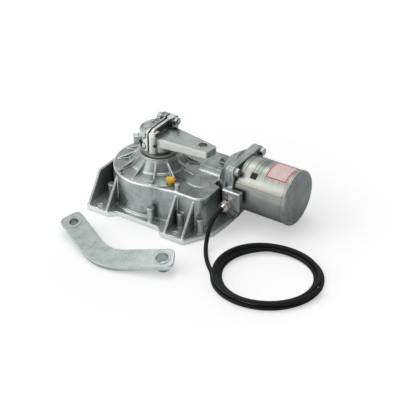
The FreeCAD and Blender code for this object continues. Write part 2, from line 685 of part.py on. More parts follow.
def make_worm_shaft():
    addendum, dedendum, thickness = WHEEL_TOOTH
    root_r = WORM_PITCH_R - dedendum
    half = math.pi * WHEEL_MODULE * WORM_TURNS / 2 + WORM_RUN_OUT
    front = FRONT_BEARING_Y
    end_r = BEARING_BORE_R - CROSS_CHAMFER
    bar = turned(((0, front), (end_r, front), (BEARING_BORE_R, front + CROSS_CHAMFER),
                  (BEARING_BORE_R, front + BEARING_W), (CROSS_SEAT_R, front + BEARING_W),
                  (CROSS_SEAT_R, -half), (root_r, WORM_TAPER - half), (root_r, half - WORM_TAPER),
                  (CROSS_SHOULDER_R, half), (CROSS_SHOULDER_R, FIRST_Y[0]), (CROSS_SEAT_R, FIRST_Y[0]),
                  (CROSS_SEAT_R, REAR_BEARING_Y), (BEARING_BORE_R, REAR_BEARING_Y),
                  (BEARING_BORE_R, CROSS_END - CROSS_CHAMFER), (end_r, CROSS_END), (0, CROSS_END)))
    ridge = worm_thread(WHEEL_MODULE, WORM_TURNS, root_r, WORM_PITCH_R + addendum, WORM_PITCH_R, thickness)
    shaft = placed(bar.fuse(ridge), V(WORM_X, 0, WHEEL_MID_Z), Y, X * -1)
    return shaft.cut([FIRST_KEY, circlip_ring()])


def make_first_worm_wheel():
    slant = math.atan(FIRST_MODULE / (2 * MOTOR_WORM_PITCH_R))
    blank = toothed_blank(FIRST_TEETH, FIRST_MODULE, FIRST_TOOTH, FIRST_WIDTH, slant)
    blank = placed(blank, V(WORM_X, MOTOR_Y, WHEEL_MID_Z), Y, Z)
    return blank.cut([rod(CROSS_SEAT_R + FIT, V(WORM_X, 0, WHEEL_MID_Z), Y, THROUGH), FIRST_KEY])


def make_first_wheel_circlip():
    half = CIRCLIP_GAP / 2
    opening = block((WORM_X - half, WORM_X + half), (0, THROUGH), (WHEEL_MID_Z, WHEEL_MID_Z + THROUGH))
    return circlip_ring().cut(opening)


def ball_bearing(origin, axis, outer, bore, width):
    """Shielded bearing drawn as one ring with grooved faces."""
    middle = (outer + bore) / 2
    groove = (outer - bore) * 0.18
    inner = middle - groove
    rim = middle + groove
    deep = 0.8
    profile = ((bore, 0), (inner, 0), (inner, deep), (rim, deep), (rim, 0), (outer, 0), (outer, width),
               (rim, width), (rim, width - deep), (inner, width - deep), (inner, width), (bore, width))
    return turned(profile, origin, axis)


def make_worm_bearing_front():
    place = V(WORM_X, FRONT_BEARING_Y, WHEEL_MID_Z)
    return ball_bearing(place, Y, BEARING_R, BEARING_BORE_R + RUNNING_GAP, BEARING_W)


def make_worm_bearing_rear():
    place = V(WORM_X, REAR_BEARING_Y, WHEEL_MID_Z)
    return ball_bearing(place, Y, BEARING_R, BEARING_BORE_R + RUNNING_GAP, BEARING_W)


def cap_screw_rods(radius, start, length):
    """Round bars along Y at the three screws of the rear bearing cap."""
    rods = []
    for angle in (0, 90, 180):
        x = WORM_X + CAP_SCREW_PCD_R * math.cos(math.radians(angle))
        z = WHEEL_MID_Z + CAP_SCREW_PCD_R * math.sin(math.radians(angle))
        rods.append(rod(radius, V(x, start, z), Y, length))
    return rods


def make_worm_bore_cap():
    cap = fused([rod(CAP_BORE_R, V(WORM_X, REAR_BEARING_Y, WHEEL_MID_Z), Y, BOX_BACK - REAR_BEARING_Y),
                 rod(CAP_FLANGE_R, V(WORM_X, BOX_BACK, WHEEL_MID_Z), Y, CAP_FLANGE_T)])
    cap = cap.cut(block((WORM_X - THROUGH, WORM_X + THROUGH), (BOX_BACK, FOOT_Y), (-OVER, FLANGE_T)))
    seat = rod(BEARING_R + FIT, V(WORM_X, REAR_BEARING_Y, WHEEL_MID_Z), Y, BEARING_W)
    return cap.cut([seat] + cap_screw_rods(CAP_SCREW_R + FIT, BOX_BACK - OVER, THROUGH))


def make_worm_cap_screws():
    face = BOX_BACK + CAP_FLANGE_T
    head_r, head_h = CAP_SCREW_HEAD
    socket_r, socket_depth = CAP_SCREW_SOCKET
    heads = cap_screw_rods(head_r, face, head_h)
    shanks = cap_screw_rods(CAP_SCREW_R, BOX_BACK - CAP_SCREW_GRIP, CAP_SCREW_GRIP + CAP_FLANGE_T + OVER)
    sockets = cap_screw_rods(socket_r, face + head_h - socket_depth, socket_depth + OVER)
    return Part.makeCompound([h.fuse(s).cut(k) for h, s, k in zip(heads, shanks, sockets)])


# Motor

MOTOR_AXIS = V(0, MOTOR_Y, MOTOR_Z)
FRONT_BEARING_X = 135.0
REAR_BEARING_X = 239.5
REAR_BEARING = (13.0, 5.0, 8.0)
SHAFT_SEAL = (129.0, 5.0, 12.0)
END_CAP_LIP_R = CAN_BORE_R - FIT
END_CAP_INSIDE = ((0, -9.5), (17.0, -9.5), (17.0, -1.0), (42.0, -1.0), (42.0, -CAN_REGISTER),
                  (END_CAP_LIP_R, -CAN_REGISTER), (END_CAP_LIP_R, 0))
END_CAP_FACE = ((RIM_R, 0), (RIM_R, 3.0), (CAN_R - 1, 5.5), (CAN_R - 4, 6.2), (CAN_R - 6, 5.6),
                (20.0, 7.4), (0, MOTOR_END_X - CAN_END_X))


def motor_turned(profile):
    """Solid of revolution of (radius, x) corners about the motor axis."""
    return turned(profile, MOTOR_AXIS, X)


def motor_rod(radius, start, length):
    """Round bar on the motor axis from one x value."""
    return rod(radius, MOTOR_AXIS + X * start, X, length)


def make_motor_bell():
    spigot = SPIGOT_R - FIT
    register = CAN_BORE_R - FIT
    body = motor_turned(((0, SPIGOT_X), (spigot, SPIGOT_X), (spigot, BELL_X), (register, BELL_X),
                         (register, CAN_X + CAN_REGISTER), (0, CAN_X + CAN_REGISTER)))
    pad = block((BELL_X, BELL_END_X), (ENTRY_Y[1], ENTRY_PAD_BACK), ENTRY_Z)
    bell = fused([body, pad, square_flange(BELL_X, BELL_END_X, BELL_END_X)])
    bearing_end = FRONT_BEARING_X + BEARING_W
    seal_start, seal_length, seal_r = SHAFT_SEAL
    cuts = [motor_rod(BELL_ROOM_R, bearing_end + OVER, THROUGH), motor_rod(BELL_SHAFT_R, SPIGOT_X, THROUGH),
            motor_rod(BEARING_R + FIT, FRONT_BEARING_X, BEARING_W + 2 * OVER),
            motor_rod(seal_r + FIT, SPIGOT_X - OVER, seal_start + seal_length - SPIGOT_X + OVER)]
    cuts += motor_ears(BELL_X - OVER, THROUGH, CLAMP_BOLT_R + FIT)
    cuts += entry_screw_rods(ENTRY_SCREW_R + FIT, ENTRY_Y[0] + OVER, ENTRY_SCREW_LENGTH)
    return bell.cut(cuts)


def make_motor_can():
    rim_start = CAN_END_X - RIM_LENGTH
    can = motor_turned(((CAN_BORE_R, CAN_X), (CAN_R, CAN_X), (CAN_R, rim_start), (RIM_R, rim_start + 1),
                        (RIM_R, CAN_END_X), (CAN_BORE_R, CAN_END_X)))
    seam = block((CAN_X, rim_start), (CAN_R - OVER, CAN_R + SEAM_H), (-SEAM_W / 2, SEAM_W / 2))
    seam.rotate(V(0, 0, 0), X, SEAM_DEG)
    seam.translate(MOTOR_AXIS)
    return can.fuse(seam).removeSplitter()


def make_motor_end_cap():
    outer, bore, width = REAR_BEARING
    cap = motor_turned([(radius, CAN_END_X + x) for radius, x in END_CAP_INSIDE + END_CAP_FACE])
    return cap.cut([motor_rod(outer + FIT, REAR_BEARING_X - 2 * OVER, width + 2 * OVER),
                    motor_rod(bore + OVER, REAR_BEARING_X, width + 2 * OVER)])


def make_motor_flange_bolts():
    bolts = []
    washers = motor_ears(BELL_END_X, WASHER_T, WASHER_R)
    shanks = motor_ears(FLANGE_X, BELL_END_X - FLANGE_X + WASHER_T, CLAMP_BOLT_R)
    for washer, shank in zip(washers, shanks):
        centre = washer.BoundBox.Center
        head = hexagon(BOLT_HEAD_FLATS, V(BELL_END_X + WASHER_T, centre.y, centre.z), X, BOLT_HEAD_H)
        bolts.append(fused([shank, washer, head]))
    return Part.makeCompound(bolts)


def make_stator_core():
    return motor_turned(((ROTOR_R + AIR_GAP, STATOR_X[0]), (CAN_BORE_R - FIT, STATOR_X[0]),
                         (CAN_BORE_R - FIT, STATOR_X[1]), (ROTOR_R + AIR_GAP, STATOR_X[1])))


def make_stator_windings():
    ends = []
    inner, shoulder, outer = WINDING_R
    for start, length in zip((STATOR_X[0] - WINDING_LENGTH[0], STATOR_X[1]), WINDING_LENGTH):
        ends.append(motor_turned(((inner, start), (shoulder, start), (outer, start + WINDING_ROUND),
                                  (outer, start + length), (inner, start + length))))
    return Part.makeCompound(ends)


def make_motor_bearing_front():
    place = MOTOR_AXIS + X * FRONT_BEARING_X
    return ball_bearing(place, X, BEARING_R, BEARING_BORE_R + RUNNING_GAP, BEARING_W)


def make_motor_bearing_rear():
    place = MOTOR_AXIS + X * REAR_BEARING_X
    return ball_bearing(place, X, REAR_BEARING[0], REAR_BEARING[1] + RUNNING_GAP, REAR_BEARING[2])


def make_motor_shaft_seal():
    return tube(SHAFT_SEAL[2], BEARING_BORE_R + RUNNING_GAP, MOTOR_AXIS + X * SHAFT_SEAL[0], X, SHAFT_SEAL[1])


def make_rotor_core():
    start = STATOR_X[0] + 1
    end = STATOR_X[1] - 1
    return motor_turned(((ROTOR_SEAT_R, start), (ROTOR_R, start), (ROTOR_R, end), (ROTOR_SEAT_R, end)))


def make_motor_worm_shaft():
    addendum, dedendum, _ = FIRST_TOOTH
    root_r = MOTOR_WORM_PITCH_R - dedendum
    half = math.pi * FIRST_MODULE * MOTOR_WORM_TURNS / 2 + 3
    end = REAR_BEARING_X + REAR_BEARING[2]
    seat_r = ROTOR_SEAT_R - FIT
    bar = turned(((0, WORM_X - half - 3), (root_r - 1.5, WORM_X - half - 3), (root_r, WORM_X - half - 1),
                  (root_r, WORM_X + half), (BEARING_BORE_R, WORM_X + half + 2),
                  (BEARING_BORE_R, FRONT_BEARING_X + BEARING_W), (seat_r, FRONT_BEARING_X + BEARING_W),
                  (seat_r, REAR_BEARING_X - 3), (REAR_BEARING[1], REAR_BEARING_X - 3),
                  (REAR_BEARING[1], end), (0, end)))
    tip_r = MOTOR_WORM_PITCH_R + addendum
    ridge = worm_thread(FIRST_MODULE, MOTOR_WORM_TURNS, root_r, tip_r, MOTOR_WORM_PITCH_R, MOTOR_THREAD_T)
    ridge.translate(Z * WORM_X)
    return placed(bar.fuse(ridge), MOTOR_AXIS, X, Z * -1)


# Cable entry and the small parts on the motor

CAN_PLUG_X = 183.0
CAN_PLUG_DEG = 130.0
CAN_PLUG_SIZE = 11.0
CAN_PLUG_H = 1.2
ENTRY_GUSSET_H = 14.0
ENTRY_GUSSET_X = (143.0, 153.0)


def entry_screw_rods(radius, start, length):
    """Round bars along Y at the two fixing screws of the cable entry box."""
    middle = (BELL_X + BELL_END_X) / 2
    return [rod(radius, V(middle, start, z), Y, length) for z in ENTRY_SCREW_Z]


def make_cable_entry_box():
    box = block(ENTRY_X, ENTRY_Y, ENTRY_Z)
    box = rounded_edges(box, 2.0, lambda edge: edge.BoundBox.YMax < ENTRY_Y[0] + 1e-3)
    corners = ((ENTRY_Y[1], ENTRY_Z[0] - ENTRY_GUSSET_H), (ENTRY_Y[0] + 2, ENTRY_Z[0]),
               (ENTRY_Y[1], ENTRY_Z[0]))
    gusset = slab(corners, ENTRY_GUSSET_X[0], ENTRY_GUSSET_X[1] - ENTRY_GUSSET_X[0])
    thread_start = V(GLAND_X, GLAND_THREAD_END_Y, GLAND_Z)
    cuts = entry_screw_rods(ENTRY_SCREW_R + FIT, ENTRY_Y[0] - OVER, THROUGH)
    cuts.append(rod(GLAND_THREAD_R + FIT, thread_start, Y, GLAND_THREAD_LENGTH + OVER))
    return box.fuse(gusset).removeSplitter().cut(cuts)


def make_cable_entry_screws():
    head_r, head_h = ENTRY_SCREW_HEAD
    heads = entry_screw_rods(head_r, ENTRY_Y[0] - head_h, head_h)
    shanks = entry_screw_rods(ENTRY_SCREW_R, ENTRY_Y[0] - OVER, ENTRY_SCREW_LENGTH + OVER)
    return Part.makeCompound([head.fuse(shank) for head, shank in zip(heads, shanks)])


def make_cable_gland_body():
    hexed = hexagon(GLAND_FLATS, V(GLAND_X, ENTRY_Y[0] - GLAND_HEX_H, GLAND_Z), Y, GLAND_HEX_H)
    thread = rod(GLAND_THREAD_R, V(GLAND_X, GLAND_THREAD_END_Y, GLAND_Z), Y, GLAND_THREAD_LENGTH)
    return hexed.fuse(thread).removeSplitter()


def make_cable_gland_nut():
    hex_y = ENTRY_Y[0] - GLAND_HEX_H - GLAND_NUT_HEX_H
    nut = hexagon(GLAND_FLATS, V(GLAND_X, hex_y, GLAND_Z), Y, GLAND_NUT_HEX_H)
    dome = Part.makeCone(*GLAND_DOME_R, hex_y - GLAND_NUT_END_Y, V(GLAND_X, hex_y, GLAND_Z), Y * -1)
    nut = nut.fuse(dome).removeSplitter()
    hole_y = GLAND_NUT_END_Y - OVER
    cuts = [rod(GLAND_THREAD_R + FIT, V(GLAND_X, GLAND_THREAD_END_Y, GLAND_Z), Y, GLAND_THREAD_LENGTH),
            rod(CABLE_D / 2 + FIT, V(GLAND_X, hole_y, GLAND_Z), Y, CABLE_ROUTE[0][1] - hole_y)]
    return nut.cut(cuts)


def make_can_plug():
    half = CAN_PLUG_SIZE / 2
    plug = block((CAN_PLUG_X - half, CAN_PLUG_X + half), (CAN_R - 2, CAN_R + CAN_PLUG_H), (-half, half))
    plug.rotate(V(0, 0, 0), X, CAN_PLUG_DEG)
    plug.translate(MOTOR_AXIS)
    return plug.cut(motor_rod(CAN_R, CAN_X, THROUGH))


# Mains cable

def make_mains_cable():
    points = [V(*p) for p in CABLE_ROUTE]
    radii = []
    edges = []
    start = points[0]
    for before, corner, after in zip(points, points[1:], points[2:]):
        back = before - corner
        ahead = after - corner
        shorter = min(back.Length, ahead.Length)
        back.normalize()
        ahead.normalize()
        reach = CABLE_BEND_SHARE * shorter
        half = back.getAngle(ahead) / 2
        radius = reach * math.tan(half)
        middle = back + ahead
        middle.normalize()
        first = corner + back * reach
        last = corner + ahead * reach
        top = corner + middle * (radius / math.sin(half) - radius)
        edges.append(Part.LineSegment(start, first).toShape())
        edges.append(Part.Arc(first, top, last).toShape())
        start = last
        radii.append(radius)
    edges.append(Part.LineSegment(start, points[-1]).toShape())
    path = Part.Wire(edges)
    section = Part.Wire(Part.makeCircle(CABLE_D / 2, points[0], points[1] - points[0]))
    cable = path.makePipeShell([section], True, True)
    wanted = math.pi * CABLE_D ** 2 / 4 * path.Length
    print("cable bend radii", [round(r, 1) for r in radii], "length", round(path.Length, 1),
          "volume share", round(cable.Volume / wanted, 4))
    return cable


def make_cable_coil():
    lower = [(COIL_R - w, h) for w, h in COIL_EDGE] + [(COIL_R + w, h) for w, h in reversed(COIL_EDGE)]
    upper = [(r, COIL_HEIGHT - h) for r, h in reversed(lower)]
    return turned(lower + upper, V(COIL_CENTRE[0], COIL_CENTRE[1], 0))


# Drive lever, clamp and their fasteners

LEVER_PLAN = ((5.0, -24.8, 0), (LEVER_END_X - 4, -18.4, 4), (LEVER_END_X, 8.5, 6),
              (LEVER_END_X - 6, 11.5, 4), (22.0, 26.0, 3), (5.0, 27.5, 0))
LEVER_SLOPE_X = (10.0, LEVER_END_X + 5)
LEVER_ROUND = 1.5
CLAMP_WALL_SIDE = ((-33.0, LEVER_TOP - 6), (-33.0, 144.0), (-29.0, 147.5), (-23.0, CLAMP_WALL_TOP),
                   (28.0, CLAMP_WALL_TOP), (28.0, LEVER_TOP - 6))
BACK_EAR_FOOT = 109.0
BACK_EAR_ROUND = 6.0
LEVER_EAR_X = (HUB_SPLIT, BACK_NUT_X)
JAW_EAR_X = (BACK_SEAT_X, -HUB_SPLIT)
SLOPE_TOP = BACK_EAR_TOP - 3
SLOPE_FOOT = JAW_TOP - 4
SLOPE_SIDE = ((-29.0, SLOPE_FOOT), (BACK_SEAT_X - 1, SLOPE_TOP), (BACK_SEAT_X + 4, SLOPE_TOP),
              (BACK_SEAT_X + 4, SLOPE_FOOT))
SLOPE_T = 6.0
LUG_X = (HUB_SPLIT, 14.0)
LUG_Y = (-34.0, -18.0)
LUG_TOP = 147.0
LUG_ROUND = 10.0
TOMMY_HOLE = (-29.0, 122.0)
TOMMY_DEPTH = 5.0


def back_ear(x):
    """Tall bolt lug behind the hub between two x values, its upper back edge rounded."""
    ear = block(x, BACK_EAR_Y, (BACK_EAR_FOOT, BACK_EAR_TOP))
    return rounded_edges(ear, BACK_EAR_ROUND, lambda edge: edge.BoundBox.XLength > 5
                         and edge.BoundBox.YMin > BACK_EAR_Y[1] - 1)


def half_hub(radius, foot, top):
    """Round hub body with rounded rims."""
    hub = rod(radius, V(0, 0, foot), Z, top - foot)
    for height in (foot, top):
        hub = rounded_edges(hub, HUB_ROUND, at_height(height))
    return hub


def front_lug():
    """Bolt lug in front of the lever's hub, with its outer corner and its top rounded."""
    corners = ((LUG_X[0], LUG_Y[0], 0), (LUG_X[1], LUG_Y[0], LUG_ROUND), (LUG_X[1], LUG_Y[1], 0),
               (LUG_X[0], LUG_Y[1], 0))
    return rounded_edges(plate(corners, LEVER_HUB_FOOT, LUG_TOP), HUB_ROUND, at_height(LUG_TOP))


def clamp_cuts(side):
    """Shaft bore up to the hub's roof, and everything past the split on one side of it."""
    across = sorted((side * HUB_SPLIT, -side * THROUGH))
    return [rod(SHAFT_R + FIT, V(0, 0, COLLAR_TOP), Z, HUB_ROOF - COLLAR_TOP),
            block(across, (-THROUGH, THROUGH), (COLLAR_TOP, COLLAR_TOP + THROUGH))]


def make_drive_lever():
    root_x, tip_x = LEVER_SLOPE_X
    plan = plate(LEVER_PLAN, LEVER_ROOT_UNDER - OVER, LEVER_TOP)
    corners = [V(0, -THROUGH, LEVER_ROOT_UNDER), V(root_x, -THROUGH, LEVER_ROOT_UNDER),
               V(tip_x, -THROUGH, LEVER_TIP_UNDER), V(tip_x, -THROUGH, LEVER_TOP), V(0, -THROUGH, LEVER_TOP)]
    side = Part.Face(Part.makePolygon(corners + corners[:1]))
    arm = rounded_edges(plan.common(side.extrude(Y * 2 * THROUGH)), LEVER_ROUND, at_height(LEVER_TOP))
    hub = half_hub(LEVER_HUB_R, LEVER_HUB_FOOT, LEVER_TOP)
    wall = slab(CLAMP_WALL_SIDE, HUB_SPLIT, CLAMP_WALL_T)
    lever = fused([hub, arm, front_lug(), wall, back_ear(LEVER_EAR_X)])
    cuts = clamp_cuts(1) + [LEVER_KEY, rod(LEVER_BUSH_R, V(LEVER_HOLE_X, 0, COLLAR_TOP), Z, THROUGH)]
    cuts.append(rod(TOMMY_HOLE_R, V(LUG_X[1] - TOMMY_DEPTH, *TOMMY_HOLE), X, TOMMY_DEPTH + OVER))
    cuts += [rod(CLAMP_BOLT_R + FIT, V(0, y, z), X, FRONT_BOLT_END_X) for y, z in FRONT_BOLTS]
    for y, z in BACK_BOLTS:
        cuts.append(rod(CLAMP_BOLT_R + FIT, V(0, y, z), X, THROUGH))
        cuts.append(rod(HEAD_POCKET_R, V(BACK_NUT_X, y, z), X, BACK_BOLT_END_X))
    return lever.cut(cuts)


SET_BOLT_OUT = V(math.cos(math.radians(SET_BOLT_DEG)), math.sin(math.radians(SET_BOLT_DEG)), 0)


def set_bolt_rod(radius, start, end):
    """Round bar on the set bolt's line, between two distances off the output axis."""
    return rod(radius, SET_BOLT_OUT * start + Z * SET_BOLT_Z, SET_BOLT_OUT, end - start)


def make_clamp_jaw():
    corners = [V(x, BACK_EAR_Y[0] - SLOPE_T, z) for x, z in SLOPE_SIDE]
    slope = Part.Face(Part.makePolygon(corners + corners[:1])).extrude(Y * SLOPE_T)
    wall = slab(CLAMP_WALL_SIDE, -HUB_SPLIT - CLAMP_WALL_T, CLAMP_WALL_T)
    boss = set_bolt_rod(SET_BOSS_R, JAW_R - SET_BOSS_R, SET_BOLT_HEAD[0])
    jaw = fused([half_hub(JAW_R, JAW_FOOT, JAW_TOP), wall, slope, back_ear(JAW_EAR_X), boss])
    cuts = clamp_cuts(-1) + [set_bolt_rod(SET_BOLT_R + FIT, SHAFT_R / 2, SET_BOLT_HEAD[1])]
    for places, seat_x in ((FRONT_BOLTS, FRONT_SEAT_X), (BACK_BOLTS, BACK_SEAT_X)):
        for y, z in places:
            cuts.append(rod(CLAMP_BOLT_R + FIT, V(0, y, z), X * -1, THROUGH))
            cuts.append(rod(HEAD_POCKET_R, V(seat_x, y, z), X * -1, THROUGH))
    return jaw.cut(cuts)


def make_clamp_bolts():
    bolts = []
    for places, seat_x, end_x in ((FRONT_BOLTS, FRONT_SEAT_X, FRONT_BOLT_END_X),
                                  (BACK_BOLTS, BACK_SEAT_X, BACK_BOLT_END_X)):
        for y, z in places:
            head_x = seat_x - WASHER_T
            washer = rod(WASHER_R, V(head_x, y, z), X, WASHER_T)
            shank = rod(CLAMP_BOLT_R, V(head_x, y, z), X, end_x - head_x)
            head = hexagon(BOLT_HEAD_FLATS, V(head_x - BOLT_HEAD_H, y, z), X, BOLT_HEAD_H)
            bolts.append(fused([head, washer, shank]))
    return Part.makeCompound(bolts)


def make_clamp_nuts():
    nuts = []
    for y, z in BACK_BOLTS:
        nut = hexagon(BOLT_HEAD_FLATS, V(BACK_NUT_X, y, z), X, NUT_H)
        nuts.append(nut.cut(rod(CLAMP_BOLT_R + FIT, V(0, y, z), X, THROUGH)))
    return Part.makeCompound(nuts)


def make_jaw_set_bolt():
    seat = SET_BOLT_OUT * SET_BOLT_HEAD[0] + Z * SET_BOLT_Z
    head = hexagon(SET_BOLT_FLATS, seat, SET_BOLT_OUT, SET_BOLT_HEAD[1] - SET_BOLT_HEAD[0])
    return fused([head, set_bolt_rod(SET_BOLT_R, SHAFT_R + 0.3, SET_BOLT_HEAD[0] + 1)])


def make_lever_bush():
    root_x, tip_x = LEVER_SLOPE_X
    slope = (LEVER_TIP_UNDER - LEVER_ROOT_UNDER) / (tip_x - root_x)
    foot = LEVER_ROOT_UNDER + (LEVER_HOLE_X - root_x) * slope - LEVER_BUSH_BELOW
    length = LEVER_TOP + LEVER_BUSH_ABOVE - foot
    return tube(LEVER_BUSH_R - FIT, LEVER_BUSH_BORE, V(LEVER_HOLE_X, 0, foot), Z, length)


# Loose link arm: drawn flat with its right hole on the local origin, then laid on the floor

ARM_LEFT_HOLE = V(-ARM_RIGHT_LEG - ARM_LEFT_LEG * math.cos(ARM_TURN), ARM_LEFT_LEG * math.sin(ARM_TURN), 0)
ARM_BEND_CENTRE = V(-ARM_RIGHT_LEG + ARM_BEND_R * math.tan(ARM_TURN / 2), ARM_BEND_R, 0)
ARM_HOLE_LINE = ARM_LEFT_HOLE * (1 / ARM_LEFT_HOLE.Length)
ARM_ELBOW_SIDE = Z.cross(ARM_HOLE_LINE)
ARM_REACH = ARM_BEND_CENTRE.dot(ARM_ELBOW_SIDE) + ARM_BEND_R + ARM_WIDTH / 2
ARM_TILT = math.atan(ARM_BUSH_STICK_OUT / (ARM_REACH - ARM_BUSH_R))
ARM_LIFT = (ARM_BUSH_STICK_OUT + ARM_T) * math.cos(ARM_TILT) + ARM_BUSH_R * math.sin(ARM_TILT)


def laid(shape):
    """Moves a link arm piece from its flat drawing to where it rests on its two bushes and its elbow."""
    shape.rotate(V(0, 0, 0), ARM_HOLE_LINE, -math.degrees(ARM_TILT))
    shape.rotate(V(0, 0, 0), Z, ARM_YAW_DEG)
    shape.translate(V(ARM_RIGHT_HOLE[0], ARM_RIGHT_HOLE[1], ARM_LIFT))
    return shape


def arm_bush(place, bore):
    """Welded tube that stands out below one end of the arm."""
    length = ARM_T + ARM_BUSH_STICK_OUT
    ring = tube(ARM_BUSH_R, bore, place - Z * length, Z, length + ARM_BUSH_LIP)
    return laid(ring)


def make_link_arm():
    half = ARM_WIDTH / 2
    away = V(-math.cos(ARM_TURN), math.sin(ARM_TURN), 0)
    side = V(math.sin(ARM_TURN), math.cos(ARM_TURN), 0)
    elbow = V(-ARM_RIGHT_LEG, 0, 0)
    end = ARM_LEFT_HOLE + away * ARM_PAST_HOLE
    elbow_in = elbow + (Y + side) * (half / (1 + Y.dot(side)))
    elbow_out = elbow - (Y + side) * (half / (1 + Y.dot(side)))
    inner_r = ARM_BEND_R - half
    outer_r = ARM_BEND_R + half
    points = ((V(ARM_PAST_HOLE, half, 0), ARM_CORNER_R), (elbow_in, inner_r),
              (end + side * half, ARM_CORNER_R), (end - side * half, ARM_CORNER_R),
              (elbow_out, outer_r), (V(ARM_PAST_HOLE, -half, 0), ARM_CORNER_R))
    bar = plate([(p.x, p.y, r) for p, r in points], -ARM_T, 0)
    bar = rounded_edges(bar, ARM_ROUND, lambda edge: at_height(0)(edge) or at_height(-ARM_T)(edge))
    holes = [rod(ARM_BUSH_R + FIT, place - Z * THROUGH / 2, Z, THROUGH)
             for place in (V(0, 0, 0), ARM_LEFT_HOLE)]
    return laid(bar.cut(holes))


def make_link_bush_right():
    return arm_bush(V(0, 0, 0), ARM_BUSH_BORE_RIGHT)


def make_link_bush_left():
    return arm_bush(ARM_LEFT_HOLE, ARM_BUSH_BORE_LEFT)


PIECES = {
    "gearbox_housing": make_gearbox_housing,
    "bottom_cover": make_bottom_cover,
    "cover_gasket": make_cover_gasket,
    "cover_screws": make_cover_screws,
    "vent_plug": make_vent_plug,
    "output_bush_lower": make_output_bush_lower,
    "output_bush_upper": make_output_bush_upper,
    "output_seal": make_output_seal,
    "worm_bearing_front": make_worm_bearing_front,
    "worm_bearing_rear": make_worm_bearing_rear,
    "worm_bore_cap": make_worm_bore_cap,
    "worm_cap_screws": make_worm_cap_screws,
    "motor_bell": make_motor_bell,
    "motor_can": make_motor_can,
    "motor_end_cap": make_motor_end_cap,
    "motor_flange_bolts": make_motor_flange_bolts,
    "stator_core": make_stator_core,
    "stator_windings": make_stator_windings,
    "motor_bearing_front": make_motor_bearing_front,
    "motor_bearing_rear": make_motor_bearing_rear,
    "motor_shaft_seal": make_motor_shaft_seal,
    "can_plug": make_can_plug,
    "cable_entry_box": make_cable_entry_box,
    "cable_entry_screws": make_cable_entry_screws,
    "cable_gland_body": make_cable_gland_body,
    "cable_gland_nut": make_cable_gland_nut,
    "mains_cable": make_mains_cable,
    "cable_coil": make_cable_coil,
    "output_shaft": make_output_shaft,
    "output_worm_wheel": make_output_worm_wheel,
    "wheel_key": lambda: WHEEL_KEY,
    "spacer_sleeve": make_spacer_sleeve,
    "lever_key": lambda: LEVER_KEY,
    "drive_lever": make_drive_lever,
    "clamp_jaw": make_clamp_jaw,
    "jaw_set_bolt": make_jaw_set_bolt,
    "clamp_bolts": make_clamp_bolts,
    "clamp_nuts": make_clamp_nuts,
    "lever_bush": make_lever_bush,
    "worm_shaft": make_worm_shaft,
    "first_worm_wheel": make_first_worm_wheel,
    "first_wheel_key": lambda: FIRST_KEY,
    "first_wheel_circlip": make_first_wheel_circlip,
    "motor_worm_shaft": make_motor_worm_shaft,
    "rotor_core": make_rotor_core,
    "link_arm": make_link_arm,
    "link_bush_right": make_link_bush_right,
    "link_bush_left": make_link_bush_left,
}

os.makedirs("parts", exist_ok=True)
for name, make in PIECES.items():
    make().exportStep("parts/" + name + ".step")
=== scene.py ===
import json
import math

import bpy
import numpy as np
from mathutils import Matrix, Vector


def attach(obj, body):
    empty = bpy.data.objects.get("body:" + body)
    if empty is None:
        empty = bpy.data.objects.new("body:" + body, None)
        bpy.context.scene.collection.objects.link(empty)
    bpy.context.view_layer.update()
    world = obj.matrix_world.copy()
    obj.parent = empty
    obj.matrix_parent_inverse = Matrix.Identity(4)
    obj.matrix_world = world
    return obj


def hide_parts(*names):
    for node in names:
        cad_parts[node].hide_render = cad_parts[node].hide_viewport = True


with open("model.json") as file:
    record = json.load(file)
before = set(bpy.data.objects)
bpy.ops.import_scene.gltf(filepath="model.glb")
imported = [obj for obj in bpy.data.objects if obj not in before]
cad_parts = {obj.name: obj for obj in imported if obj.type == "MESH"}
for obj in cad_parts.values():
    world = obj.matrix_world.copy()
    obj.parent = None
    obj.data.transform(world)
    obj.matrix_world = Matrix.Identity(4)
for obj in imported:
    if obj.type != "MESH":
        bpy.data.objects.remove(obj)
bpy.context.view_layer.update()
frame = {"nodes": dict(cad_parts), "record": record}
scene = bpy.context.scene
nodes = frame["nodes"]

MM = 0.001

# Camera: where it looks, from which side and how far, and its lens
VIEW_TARGET = Vector((100.5, -24.0, 40.0)) * MM
VIEW_AZIMUTH = math.radians(33.4)
VIEW_ELEVATION = math.radians(33.0)
VIEW_DISTANCE = 2.2
VIEW_CLIP = (0.05, 50.0)
SENSOR = 36.0
LENS = 114.3

# Mains cable: its listed route out of the gland, in millimetres, then its coil
CABLE_D = 7.5 * MM
CABLE_FACETS = 5
CABLE_STEPS = 6
CABLE_ROUTE = (
    (152.0, -28.0, 46.0),
    (152.0, -48.0, 45.5),
    (153.2, -66.0, 40.5),
    (155.4, -79.0, 31.5),
    (157.4, -88.5, 20.0),
    (160.4, -97.0, 9.5),
    (167.0, -107.6, 4.6),
    (177.9, -121.9, 3.75),
    (190.3, -135.4, 3.75),
)
COIL_CENTRE = np.array((288.5, -110.0))
COIL_OVAL = 0.055
COIL_OVAL_DEG = 33.4
COIL_POINTS_PER_TURN = 20
COIL_START_DEG = 206.0
COIL_TURNS = 3.45
# Turns laid down since the gland's route, and the coil's mean radius there
COIL_LAID = (0.0, 0.15, 0.28, 0.45, 0.75, 1.02, 1.3, 1.78, 2.02, 2.3, 2.8, 3.02, 3.25, 3.45)
COIL_RADIUS = (86.0, 87.0, 88.8, 87.0, 84.5, 74.0, 75.5, 77.0, 79.5, 81.0, 81.0, 84.0, 87.0, 89.5)


def aim(thing, direction):
    """Turns a camera or a lamp to look along a direction."""
    thing.rotation_mode = "QUATERNION"
    thing.rotation_quaternion = direction.to_track_quat("-Z", "Y")


